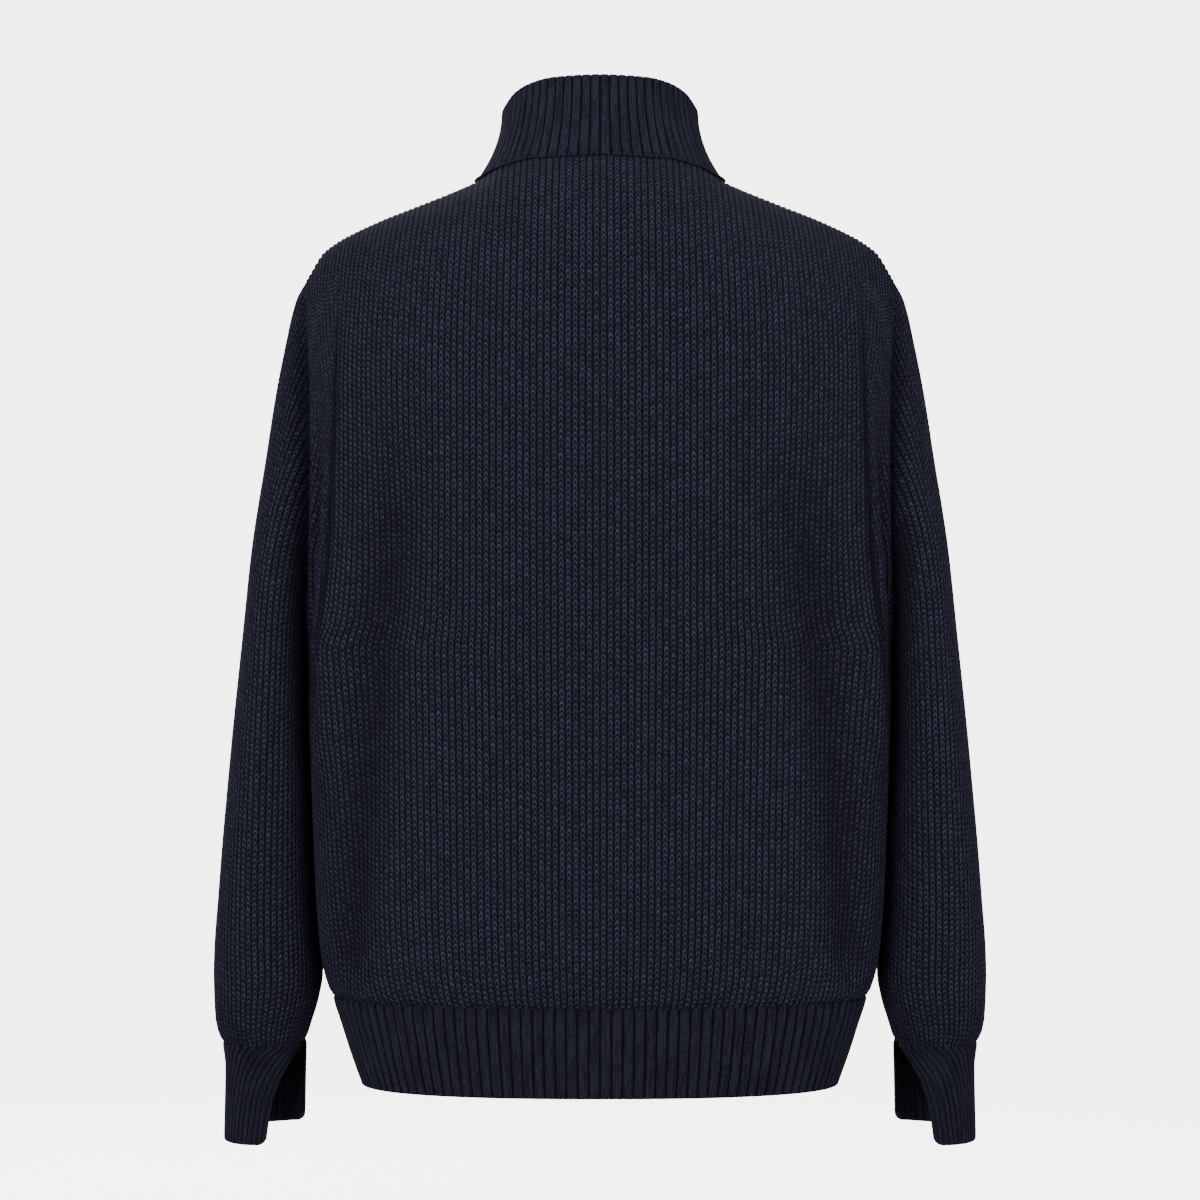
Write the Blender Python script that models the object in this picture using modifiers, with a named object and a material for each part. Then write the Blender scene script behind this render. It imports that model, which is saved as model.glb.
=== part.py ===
"""Knit bomber jacket in the shape it has when worn, built from the pieces that are cut and sewn.

The design functions work in millimetres and the meshes are in metres. +Z is up and the jacket
faces -Y, so its back faces +Y and the wearer's left is +X. The origin lies between the shoulders,
level with the base of the neck. Each panel is a grid: its columns follow the knit's wales, its rows
the courses, and functions of the sizes below place every vertex.
"""

import math

import bmesh
import bpy
import numpy as np
from mathutils import Matrix, Vector

MM = 0.001

# ---------------------------------------------------------------- driving sizes, mm
CLOTH = 2.4              # wall of the half-cardigan knit
SEAM_GAP = 0.15          # each piece stops this far from a seam line,
HEM_GAP = 0.4            # or a little more where the rims of two walls lean together
ARM_GAP = 0.7
SIDE_GAP = 0.45
RIDGE_GAP = 0.7
HEM_Z = -586.0           # seam between body and hem band
YOKE_Z = -150.0          # above this level the panels turn over the shoulders
ZIP_EDGE = 7.0           # the fronts stop this far from the centre line
NECK_HALF = 88.6         # neck seam, half width
NECK_Y = -12.0           # shoulder seam at the neck
NECK_BACK = 92.0         # neck seam, reach behind and in front of NECK_Y
NECK_FRONT = 76.0
TIP_X = 212.0            # shoulder tip, top of the armhole line
TIP_Y = -5.0
TIP_Z = -72.0
ARM_Z = -201.0           # armhole oval: middle, half height, half depths
ARM_H = 129.0
ARM_BACK = 32.0
ARM_FRONT = 44.0
ARM_ROUND = 2.5
ARM_STEPS = 10           # straight steps of the armhole line, behind and in front
RIB_WALL = 3.0           # rib pieces: wall in the grooves, and how far each rib stands above it
RIB_RISE = 0.9
COLLAR_WALL = 3.4
COLLAR_LIFT = 0.5        # gap between the neck seam and the foot of the collar
NECK_SPREAD = 0.8        # the panels' neck edges stand this far outside the seam
HEM_RIBS = 62            # on each half
COLLAR_RIBS = 36
CUFF_RIBS = 32
CUFF_Z = -621.0
TAPE_BACK = 0.35         # gap between the cloth and the tape behind it
TAPE_WALL = 0.8
TAPE_INNER = 2.9
TAPE_OUTER = 15.5
CHAIN_HALF = 2.6
CHAIN_WALL = 2.6
SLIDER = (10.0, 1.5, 11.0)   # width, plate thickness, height
SLIDER_AT = 0.981        # share of the zip line's length
TAB = (6.2, 1.4, 24.0)   # width, thickness, length from its hinge

# Body by level: z, half width, reach of the back, reach of the front, squareness of the section
BODY = (
    (-586.0, 191.5, 112.0, 106.0, 2.40),
    (-578.0, 195.5, 114.5, 109.0, 2.40),
    (-560.0, 200.0, 117.0, 112.5, 2.40),
    (-518.0, 204.0, 118.0, 115.5, 2.40),
    (-460.0, 206.5, 117.0, 117.5, 2.40),
    (-394.0, 209.0, 117.0, 119.0, 2.40),
    (-330.0, 210.5, 120.0, 120.5, 2.38),
    (-273.0, 211.0, 124.5, 122.0, 2.34),
    (-200.0, 210.5, 127.0, 122.0, 2.30),
    (-150.0, 210.2, 127.0, 120.5, 2.30),
)

# Yoke over the shoulder by distance from the centre line: x, level of the ridge and roundness of
# the way up to it for the back, the same for the fronts. Inside the neck the ridge is only a guide.
YOKE = (
    (0.0, 34.0, 2.80, 0.0, 1.65),
    (45.0, 24.0, 2.65, 4.0, 1.78),
    (70.0, 13.0, 2.40, 4.5, 1.95),
    (88.6, 0.0, 2.20, 0.0, 2.10),
    (121.7, -14.0, 2.15, -14.0, 2.10),
    (167.0, -32.0, 2.10, -32.0, 2.10),
    (198.0, -50.0, 2.10, -50.0, 2.10),
    (212.0, -72.0, 2.10, -72.0, 2.10),
)

# Hem band: z, half width, reach of the back, reach of the front
HEM = (
    (-647.0, 170.8, 105.0, 98.0),
    (-641.0, 173.0, 106.5, 99.5),
    (-624.0, 179.0, 109.5, 102.5),
    (-604.0, 185.4, 111.5, 104.5),
    (-586.0, 191.5, 112.0, 106.0),
)

# Collar's top edge by the angle round the neck from the centre back: degrees, z
COLLAR_TOP = (
    (0.0, 67.6),
    (30.0, 66.6),
    (45.0, 64.2),
    (60.0, 59.6),
    (74.0, 53.0),
    (90.0, 49.0),
    (110.0, 43.0),
    (130.0, 31.0),
    (150.0, 14.5),
    (168.0, 2.0),
    (180.0, -1.0),
)
COLLAR_TOP_HALF = 70.0
COLLAR_TOP_Y = -4.0
COLLAR_TOP_BACK = 76.0
COLLAR_TOP_FRONT = 74.0
COLLAR_FLARE = 2.1       # how fast the foot of the collar spreads on to the shoulder
COLLAR_ROWS = (0.0, 0.3, 0.62, 1.0)
HEM_ROWS = (0.0, 0.45, 1.0)

# Sleeve by level: z, outer x, inner x, middle y, half depth
SLEEVE = (
    (-621.0, 274.5, 213.4, -26.0, 43.5),
    (-608.0, 278.6, 209.4, -26.0, 50.0),
    (-590.0, 279.6, 204.0, -25.0, 58.0),
    (-572.0, 280.0, 201.2, -25.0, 62.0),
    (-554.0, 279.4, 203.0, -24.0, 64.0),
    (-518.0, 276.5, 207.0, -22.0, 67.0),
    (-482.0, 273.6, 209.2, -21.0, 69.0),
    (-438.0, 269.4, 211.0, -19.0, 71.0),
    (-394.0, 265.0, 212.4, -17.0, 73.0),
    (-330.0, 258.0, 213.4, -15.0, 73.0),
    (-266.0, 251.0, 213.0, -13.0, 70.0),
    (-200.0, 241.0, 212.4, -11.0, 66.0),
    (-158.0, 234.7, 211.4, -9.0, 62.0),
    (-122.0, 228.0, 210.0, -8.0, 56.0),
    (-86.0, 219.6, 208.0, -6.0, 44.0),
    (-72.0, 212.0, 205.0, -5.0, 34.0),
)

# Cuff by level: z, outer x, inner x, middle y, half depth
CUFF = (
    (-692.0, 272.0, 215.5, -26.0, 41.0),
    (-669.0, 271.4, 214.8, -26.0, 41.0),
    (-640.0, 270.9, 214.3, -26.0, 41.0),
    (-621.0, 273.2, 213.8, -26.0, 42.5),
)
CUFF_DROP_BACK = 71.0    # length of the rear flap
CUFF_DROP_FRONT = 64.5   # length of the front flap, which is the shorter one
CUFF_CORNER = 7.0        # how far the flaps' lower corners are rounded off
CUFF_ROWS = (0.0, 0.04, 0.2, 0.5, 1.0)

# The rear flap's curved edge, which its ribs follow: share of its length, degrees from the slit
CUFF_SLIT = (
    (0.0, 24.0),
    (0.04, 25.0),
    (0.10, 39.0),
    (0.20, 52.0),
    (0.31, 62.4),
    (0.45, 69.6),
    (0.59, 75.0),
    (0.73, 77.6),
    (0.92, 80.2),
    (1.0, 81.0),
)

# Folds of the back, as soft troughs (depth below zero) and ridges (above it). Each follows a line
# down the panel: s is the distance round the body from the centre back, wearer's left positive.
# name, z_top, s_top, z_mid, s_mid, z_low, s_low, half_width, depth
FOLDS_BACK = (
    ("armpit_trough_left", -112, 221, -240, 231, -385, 250, 12, -13.0),
    ("armpit_ridge_left", -105, 199, -215, 206, -380, 231, 14, 4.0),
    ("armpit_trough_right", -116, -220, -236, -232, -372, -250, 12, -12.0),
    ("armpit_ridge_right", -110, -198, -210, -205, -366, -231, 14, 4.0),
    ("flank_left", -205, 121, -430, 142, -584, 190, 17, -7.0),
    ("flank_lip_left", -230, 150, -440, 172, -580, 214, 18, 3.0),
    ("flank_right", -210, -118, -400, -138, -570, -182, 17, -6.5),
    ("flank_lip_right", -240, -148, -430, -170, -575, -208, 18, 3.0),
)

# Folds of the fronts, on both sides alike: s is the distance round the body from the centre front
FOLDS_FRONT = (
    ("armpit_trough", -118, 206, -240, 216, -390, 246, 13, -10.0),
    ("armpit_ridge", -112, 184, -215, 192, -380, 226, 15, 3.5),
    ("chest", -190, 96, -400, 122, -583, 168, 20, -5.5),
)


# ---------------------------------------------------------------- interpolation and curves
def smooth(table, column, z):
    """A table's column at z, through its rows with a monotone cubic, so that outlines are smooth."""
    rows = sorted(table)
    x = np.array([row[0] for row in rows], float)
    y = np.array([row[column] for row in rows], float)
    slope = np.diff(y) / np.diff(x)
    tangent = np.zeros(len(x))
    tangent[0] = slope[0]
    tangent[-1] = slope[-1]
    same = slope[1:] * slope[:-1] > 0
    mean = 2 * slope[1:] * slope[:-1] / np.where(same, slope[1:] + slope[:-1], 1.0)
    tangent[1:-1] = np.where(same, mean, 0.0)
    z = np.clip(np.asarray(z, float), x[0], x[-1])
    k = np.clip(np.searchsorted(x, z) - 1, 0, len(x) - 2)
    h = x[k + 1] - x[k]
    t = (z - x[k]) / h
    return (
        y[k] * (1 + 2 * t) * (1 - t) ** 2
        + tangent[k] * h * t * (1 - t) ** 2
        + y[k + 1] * t * t * (3 - 2 * t)
        + tangent[k + 1] * h * t * t * (t - 1)
    )


def step(t):
    t = np.clip(t, 0.0, 1.0)
    return t * t * (3 - 2 * t)


def along(points, share):
    """Points at shares 0 to 1 of the length of a polyline."""
    lengths = np.linalg.norm(np.diff(points, axis=0), axis=1)
    run = np.concatenate(([0.0], np.cumsum(lengths)))
    run /= run[-1]
    return np.stack([np.interp(share, run, points[:, i]) for i in range(points.shape[1])], axis=-1)


def unit(vectors):
    return vectors / np.maximum(np.linalg.norm(vectors, axis=-1, keepdims=True), 1e-9)


def quarter(half, reach, square, sign):
    """A quarter of a level section, from the centre line round to the side."""
    t = np.linspace(0, math.pi / 2, 240)
    x = half * np.sin(t) ** (2 / square)
    y = sign * reach * np.cos(t) ** (2 / square)
    return np.stack([x, y], axis=1)


# ---------------------------------------------------------------- body panels
def armhole_levels():
    """Levels of the armhole line's corners, from the shoulder tip down to the underarm."""
    return ARM_Z + ARM_H * np.cos(np.linspace(0, math.pi, ARM_STEPS + 1))


def armhole_y(z, sign):
    """Reach of the armhole line at a level, behind (sign 1) or in front (sign -1)."""
    corners = armhole_levels()[::-1]
    c = (corners - ARM_Z) / ARM_H
    reach = ARM_BACK if sign > 0 else ARM_FRONT
    bow = (1 - np.abs(c) ** ARM_ROUND) ** (1 / 2.1)
    return np.interp(z, corners, TIP_Y * (1 + c) / 2 + sign * reach * bow)


def body_section(z, sign):
    """The level section of a back (sign 1) or front (sign -1), from the centre to its edge."""
    half = smooth(BODY, 1, z)
    reach = smooth(BODY, 2 if sign > 0 else 3, z)
    line = quarter(half, reach, smooth(BODY, 4, z), sign)
    full = np.linalg.norm(np.diff(line, axis=0), axis=1).sum()
    edge = armhole_y(z, sign) if z > ARM_Z - ARM_H else 0.0
    edge = sign * max(SIDE_GAP, edge * sign)
    keep = line[:, 1] * sign > edge * sign
    if keep.all():
        return line, full, full
    last = int(np.argmin(keep))
    a, b = line[last - 1], line[last]
    t = (a[1] - edge) / (a[1] - b[1])
    line = np.vstack([line[:last], a + (b - a) * t])
    length = np.linalg.norm(np.diff(line, axis=0), axis=1).sum()
    return line, length, full


def level_points(z, sign, s0, u):
    """Points of a level at shares u of the panel's width, with their distance s from the centre."""
    line, length, full = body_section(z, sign)
    s = s0 + (full - s0) * u - (full - length) * u ** 2.2
    x, y = along(line, s / length).T
    return x, y, s


def yoke_columns(a, start, sign, s0, spread):
    """Each column's way from the top of the straight body over the shoulder, fine and trimmed.

    A column rises as a quarter superellipse towards the ridge and stops there, or at the neck."""
    x_top = s0 + (TIP_X - s0) * (1 - (1 - a) ** 1.25)
    first = 1 if sign > 0 else 3
    z_top = smooth(YOKE, first, x_top)
    square = smooth(YOKE, first + 1, x_top)
    reach = (NECK_BACK if sign > 0 else NECK_FRONT) + spread
    y_top = NECK_Y + (TIP_Y - NECK_Y) * np.clip((x_top - NECK_HALF) / (TIP_X - NECK_HALF), 0, 1)
    y_top = y_top + sign * RIDGE_GAP
    t = np.linspace(0, 1, 160)[:, None]
    x = start[:, 0] + (x_top - start[:, 0]) * step(t)
    y = y_top + (start[:, 1] - y_top) * np.cos(t * math.pi / 2) ** (2 / square)
    z = start[:, 2] + (z_top - start[:, 2]) * np.sin(t * math.pi / 2) ** (2 / square)
    inside = 1 - (x / (NECK_HALF + spread)) ** 2 - ((y - NECK_Y) / reach) ** 2
    curves = []
    for k in range(len(a)):
        line = np.stack([x[:, k], y[:, k], z[:, k]], axis=1)
        hit = np.nonzero(inside[:, k] > 1e-6)[0]
        if len(hit) and x_top[k] < NECK_HALF + spread:
            last = hit[0]
            part = inside[last - 1, k] / (inside[last - 1, k] - inside[last, k])
            line = np.vstack([line[:last], line[last - 1] + (line[last] - line[last - 1]) * part])
        curves.append(line)
    return curves


def neck_seam(sign, s0):
    """The neck seam from the centre line (x = s0) round to the shoulder seam."""
    x = s0 + (NECK_HALF - s0) * np.sin(np.linspace(0, math.pi / 2, 60))
    a = 1 - (1 - (x - s0) / (TIP_X - s0)) ** 0.8
    px, py, _ = level_points(YOKE_Z, sign, s0, a)
    start = np.stack([px, py, np.full_like(px, YOKE_Z)], axis=1)
    curves = yoke_columns(a, start, sign, s0, 0.0)
    tops = np.array([curve[-1] for curve in curves])
    tops[-1] = (NECK_HALF, NECK_Y, 0.0)
    return tops


def panel_columns(s0, outer):
    """Column shares that meet the neck seam every 18 degrees, then lie closer towards the side."""
    first = math.degrees(math.asin(s0 / NECK_HALF))
    angles = np.radians(np.concatenate([[first], np.arange(18.0, 91.0, 18.0)]))
    x = (NECK_HALF + NECK_SPREAD) * np.sin(angles)
    x[0] = s0
    u = 1 - (1 - (x - s0) / (TIP_X - s0)) ** 0.8
    rest = 1 - (1 - u[-1]) * (1 - np.linspace(0, 1, outer + 1)[1:]) ** 1.35
    return np.concatenate([u, rest])


def panel_levels():
    """Levels of a panel's rows up to the yoke, and shares of the way over it for the rest."""
    corners = armhole_levels()
    low = np.array([HEM_Z + HEM_GAP, -573.0, -555.0, -525.0, -485.0, -445.0, -405.0, -366.0])
    side = corners[corners < YOKE_Z][::-1]
    yoke = (corners[corners > YOKE_Z][::-1] - YOKE_Z) / (TIP_Z - YOKE_Z)
    return np.concatenate([low, side, [YOKE_Z]]), np.sort(np.concatenate([[0.16, 0.5, 0.82, 0.97], yoke]))


def panel(sign, u, levels, share, s0, folds):
    """A half panel from hem to top; u may run from -1 to 1, and its sign picks the side."""
    a = np.abs(u)
    side = np.where(u < 0, -1.0, 1.0)
    points = []
    arcs = []
    for z in levels:
        x, y, s = level_points(z, sign, s0, a)
        points.append(np.stack([x, y, np.full_like(x, z)], axis=-1))
        arcs.append(s)
    start = points[-1]
    curves = yoke_columns(a, start, sign, s0, NECK_SPREAD)
    yoke = np.stack([along(curve, share) for curve in curves], axis=1)
    edge_z = YOKE_Z + (TIP_Z - YOKE_Z) * share
    edge_x = start[a.argmax(), 0] + (TIP_X - start[a.argmax(), 0]) * step(share)
    edge_y = sign * np.maximum(SIDE_GAP, sign * armhole_y(edge_z, sign))
    edge_y[-1] = TIP_Y + sign * RIDGE_GAP
    edge = np.stack([edge_x, edge_y, edge_z], axis=-1)
    yoke += (edge - yoke[:, a.argmax()])[:, None, :] * (a ** 5)[None, :, None]
    yoke_levels = YOKE_Z + 190.0 * share
    grid = np.concatenate([np.array(points), yoke])
    arcs = np.concatenate([np.array(arcs), np.repeat(arcs[-1][None], len(share), axis=0)])
    levels = np.concatenate([levels, yoke_levels])[:, None]
    grid[:, :, 0] *= side
    width = arcs.max(axis=1, keepdims=True)
    edge_fade = step((width - arcs) / 14.0) * step((levels - HEM_Z) / 16.0)
    fold = fold_depth(folds, arcs * side, levels) * edge_fade
    return grid + grid_normals(grid)[0] * (fold * outward(grid))[..., None]


def fold_depth(folds, s, z):
    """Sum of the folds at distance s and level z."""
    total = np.zeros(np.broadcast(s, z).shape)
    for name, z_top, s_top, z_mid, s_mid, z_low, s_low, half, depth in folds:
        centre = np.interp(z, (z_low, z_mid, z_top), (s_low, s_mid, s_top))
        ends = step((z - z_low) / 45.0) * step((z_top - z) / 60.0)
        total += depth * ends * np.exp(-(((s - centre) / half) ** 2))
    return total


def grid_normals(grid):
    du = np.gradient(grid, axis=1)
    dv = np.gradient(grid, axis=0)
    normal = unit(np.cross(du, dv))
    return normal, du, dv


def outward(grid):
    """1 where the grid's normals point away from its middle, or else -1."""
    normal = grid_normals(grid)[0]
    away = grid - grid.reshape(-1, 3).mean(axis=0)
    return 1.0 if (normal * away).sum() > 0 else -1.0


def moved(grid, distance):
    """The grid moved along its normals, outwards above zero."""
    return grid + grid_normals(grid)[0] * outward(grid) * distance


# ---------------------------------------------------------------- hem band and collar
def half_ring(half, back, front, square, edge_x):
    """A level half section from the centre back round the side to the front edge."""
    rear = quarter(half, back, square, 1.0)
    fore = quarter(half, front, square, -1.0)[::-1]
    line = np.vstack([rear, fore[1:]])
    keep = (line[:, 0] > edge_x) | (line[:, 1] > 0)
    return line[keep]


def both_sides(half_points):
    """A half ring from centre back to front edge, mirrored into one row from edge to edge."""
    mirrored = half_points[::-1] * np.array([-1.0, 1.0, 1.0])
    return np.vstack([mirrored[:-1], half_points])


def hem_ring(z, share, edge_x=ZIP_EDGE):
    line = half_ring(smooth(HEM, 1, z), smooth(HEM, 2, z), smooth(HEM, 3, z), 2.4, edge_x)
    xy = along(line, share)
    return np.concatenate([xy, np.full((len(share), 1), z)], axis=1)


def hem_grid(share, rows):
    top = HEM_Z - HEM_GAP
    bottom = HEM[0][0]
    return np.array([both_sides(hem_ring(bottom + (top - bottom) * t, share)) for t in rows])


def collar_foot(share, edge_x=ZIP_EDGE):
    line = np.vstack([neck_seam(1.0, 0.0), neck_seam(-1.0, edge_x)[-2::-1]])
    return along(line, share) + np.array([0.0, 0.0, COLLAR_LIFT])


def collar_head(share, edge_x=ZIP_EDGE):
    angle = np.linspace(0, math.pi - math.asin(edge_x / COLLAR_TOP_HALF), 400)
    c = np.cos(angle)
    x = COLLAR_TOP_HALF * np.sin(angle)
    y = COLLAR_TOP_Y + np.where(c > 0, COLLAR_TOP_BACK, COLLAR_TOP_FRONT) * c
    line = np.stack([x, y, smooth(COLLAR_TOP, 1, np.degrees(angle))], axis=-1)
    return along(line, share)


def collar_ring(share, t, edge_x=ZIP_EDGE):
    foot = collar_foot(share, edge_x)
    head = collar_head(share, edge_x)
    flare = COLLAR_FLARE + (1.0 - COLLAR_FLARE) * step((share - 0.72) / 0.28)
    spread = (1 - t) ** flare[:, None]
    xy = head[:, :2] + (foot[:, :2] - head[:, :2]) * spread
    z = foot[:, 2:] + (head[:, 2:] - foot[:, 2:]) * t
    return np.concatenate([xy, z], axis=1)


def collar_grid(share, rows):
    return np.array([both_sides(collar_ring(share, t)) for t in rows])


# ---------------------------------------------------------------- sleeves and cuffs
def armhole_line(sign):
    """The armhole line from the shoulder tip to the underarm, behind or in front."""
    points = []
    for z in armhole_levels():
        drop = ARM_GAP * max(0.0, (z - ARM_Z) / ARM_H)
        if z > YOKE_Z:
            base = body_edge_x(YOKE_Z, sign)
            x = base + (TIP_X - base) * float(step((z - YOKE_Z) / (TIP_Z - YOKE_Z)))
        else:
            x = body_edge_x(z, sign)
        points.append((x + ARM_GAP - drop / 2, float(armhole_y(z, sign)), z - drop))
    return np.array(points)


def body_edge_x(z, sign):
    return float(body_section(z, sign)[0][-1, 0])


def tube_section(table, z, q, square=2.15):
    """Points of a sleeve or cuff section, q from 0 at its outer side, by its back, round to 1."""
    outer = float(smooth(table, 1, z))
    inner = float(smooth(table, 2, z))
    middle = float(smooth(table, 3, z))
    depth = float(smooth(table, 4, z))
    t = np.linspace(0, 2 * math.pi, 721)
    c = np.cos(t)
    s = np.sin(t)
    x = (outer + inner) / 2 + (outer - inner) / 2 * np.sign(c) * np.abs(c) ** (2 / square)
    y = middle + depth * np.sign(s) * np.abs(s) ** (2 / square)
    return along(np.stack([x, y], axis=1), q)


def sleeve_grid(q, t):
    """Rows t run from the armhole line (0) to the cuff seam (1), columns q round the arm."""
    rear = armhole_line(1.0)
    fore = armhole_line(-1.0)
    corner = np.linspace(0, 0.5, len(rear))
    near = np.minimum(q, 1 - q)
    behind = np.stack([np.interp(near, corner, rear[:, i]) for i in range(3)], axis=1)
    before = np.stack([np.interp(near, corner, fore[:, i]) for i in range(3)], axis=1)
    start = np.where((q <= 0.5)[:, None], behind, before)
    levels = np.linspace(CUFF_Z, TIP_Z, 160)
    table = np.array([tube_section(SLEEVE, z, q) for z in levels])

    def ring(z):
        k = np.clip((z - CUFF_Z) / (TIP_Z - CUFF_Z) * 159, 0, 158.999)
        low = k.astype(int)
        part = (k - low)[..., None]
        column = np.broadcast_to(np.arange(len(q)), z.shape)
        return table[low, column] * (1 - part) + table[low + 1, column] * part

    slant = 1.0 + 0.22 * np.sin(math.pi * q) ** 2
    z = start[:, 2] + (CUFF_Z + SEAM_GAP - start[:, 2]) * t[:, None] ** slant
    offset = start[:, :2] - ring(start[None, :, 2])[0]
    fade = np.clip(1 - t / 0.36, 0, 1)[:, None, None] ** 2.4
    xy = ring(z) + offset * fade
    return np.concatenate([xy, z[..., None]], axis=2)


def cuff_grid(q, rows):
    """Columns q run from the slit (0) by the back and the outer side round to the slit (1).

    The rear flap's columns close up towards the outer side on the way down, as its edge does."""
    share = np.array(rows)[:, None]
    edge = smooth(CUFF_SLIT, 1, share)
    degrees = np.where(q < 0.5, edge + (180.0 - edge) * 2 * q, 360.0 * q)
    length = CUFF_DROP_BACK + (CUFF_DROP_FRONT - CUFF_DROP_BACK) * step((q - 0.5) / 0.22)
    corner = step(1 - q / 0.04) ** 2 + step((q - 0.93) / 0.07) ** 2
    z = CUFF_Z - SEAM_GAP - (length - CUFF_CORNER * corner) * share
    around = np.mod(0.5 - degrees / 360.0 * 0.994 - 0.003, 1.0)
    grid = []
    for row, turn in zip(z, around):
        points = [tube_section(CUFF, row[k], turn[k:k + 1])[0] for k in range(len(q))]
        grid.append([(x, y, level) for (x, y), level in zip(points, row)])
    return np.array(grid)


# ---------------------------------------------------------------- zip line
def zip_column(x):
    """The garment's face at x by the rows of its pieces, from the hem's edge to the collar's."""
    rows = []
    for t in HEM_ROWS:
        z = HEM[0][0] + (HEM_Z - HEM_GAP - HEM[0][0]) * t
        rows.append((*hem_ring(z, np.array([1.0]), x)[0], RIB_WALL))
    front = panel(-1.0, np.array([0.0, 1.0]), *panel_levels(), x, ())
    for point in front[1:-1, 0]:
        rows.append((*point, CLOTH))
    for t in COLLAR_ROWS:
        rows.append((*collar_ring(np.array([1.0]), t, x)[0], COLLAR_WALL))
    return np.array(rows)


def zip_grid(x_values, depth, low, high):
    """Rows up the zip line between shares low and high, set back behind the garment's face."""
    grid = np.stack([zip_column(abs(x)) for x in x_values], axis=1)
    grid[:, :, 0] = x_values
    length = np.linalg.norm(np.diff(grid[:, 0, :3], axis=0), axis=1)
    share = np.concatenate(([0.0], np.cumsum(length) / length.sum()))
    normal = grid_normals(grid[:, :, :3])[0]
    normal *= -np.sign(normal[:, :, 1:2])
    wall = grid[:, :, 3:4]
    wall = np.maximum(wall, np.maximum(np.roll(wall, 1, axis=0), np.roll(wall, -1, axis=0)) - 0.3)
    grid = grid[:, :, :3] - normal * (wall + depth)
    grid[:, :, 0] = x_values
    rows = np.concatenate([[low], share[(share > low + 0.004) & (share < high - 0.004)], [high]])
    return np.stack([along_rows(grid[:, k], share, rows) for k in range(len(x_values))], axis=1)


def along_rows(column, share, rows):
    return np.stack([np.interp(rows, share, column[:, i]) for i in range(3)], axis=1)


def zip_frame(share):
    """A frame on the tapes' plane: local X across, Y into the jacket and Z up the zip line."""
    mid = zip_grid((0.8, 2.4), TAPE_BACK + TAPE_WALL / 2, share - 0.008, share + 0.008)[:, 0]
    up = mid[-1] - mid[0]
    place = Vector((0.0, (mid[0, 1] + mid[-1, 1]) / 2, (mid[0, 2] + mid[-1, 2]) / 2)) * MM
    return Matrix.Translation(place) @ Matrix.Rotation(math.atan2(-up[1], up[2]), 4, "X")


# ---------------------------------------------------------------- objects
def material(name, colour, roughness, metallic=0.0):
    made = bpy.data.materials.new(name)
    made.use_nodes = True
    shader = made.node_tree.nodes["Principled BSDF"]
    shader.inputs["Base Color"].default_value = (*colour, 1.0)
    shader.inputs["Roughness"].default_value = roughness
    shader.inputs["Metallic"].default_value = metallic
    return made


def sheet_object(name, grid, wall, look, rise=0.0, weights=None, closed=False):
    """A grid as an object, with its wall made inwards, or outwards with ribs by the weights."""
    rows, columns = grid.shape[0] - 1, grid.shape[1] - 1
    bm = bmesh.new()
    bmesh.ops.create_grid(bm, x_segments=columns, y_segments=rows, size=0.5)
    places = [(round((v.co.x + 0.5) * columns), round((v.co.y + 0.5) * rows)) for v in bm.verts]
    for v, (i, j) in zip(bm.verts, places):
        v.co = Vector(grid[j, i]) * MM
    if outward(grid) < 0:
        bmesh.ops.reverse_faces(bm, faces=bm.faces)
    layer = bm.verts.layers.deform.verify()
    for v, (i, j) in zip(bm.verts, places):
        v[layer][0] = 1.0 if weights is None else float(weights[i])
    if closed:
        bmesh.ops.remove_doubles(bm, verts=bm.verts, dist=1e-6)
    mesh = bpy.data.meshes.new(name)
    bm.to_mesh(mesh)
    bm.free()
    mesh.shade_smooth()
    made = bpy.data.objects.new(name, mesh)
    made.vertex_groups.new(name="wall")
    solid = made.modifiers.new("wall", "SOLIDIFY")
    solid.thickness = (wall + rise) * MM
    solid.offset = -1.0 if weights is None else 1.0
    if weights is not None:
        solid.vertex_group = "wall"
    mesh.materials.append(look)
    return made


def rib_weights(columns, wall, rise):
    """Column weights for ribs that peak on every odd column."""
    low = wall / (wall + rise)
    return [1.0 if k % 2 else low for k in range(columns)]


def mirror_grid(grid):
    return grid[:, ::-1] * np.array([-1.0, 1.0, 1.0])


def block(bm, size, centre):
    made = bmesh.ops.create_cube(bm, size=1.0)["verts"]
    for v in made:
        v.co = Vector(centre) + Vector(a * b for a, b in zip(v.co, size))
    return made


def block_object(name, size, centre, look, frame=None, bevel=0.0):
    bm = bmesh.new()
    block(bm, [a * MM for a in size], [a * MM for a in centre])
    mesh = bpy.data.meshes.new(name)
    bm.to_mesh(mesh)
    bm.free()
    mesh.materials.append(look)
    made = bpy.data.objects.new(name, mesh)
    if frame is not None:
        made.matrix_world = frame
    if bevel:
        edge = made.modifiers.new("edges", "BEVEL")
        edge.width = bevel * MM
        edge.segments = 1
    return made


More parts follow.
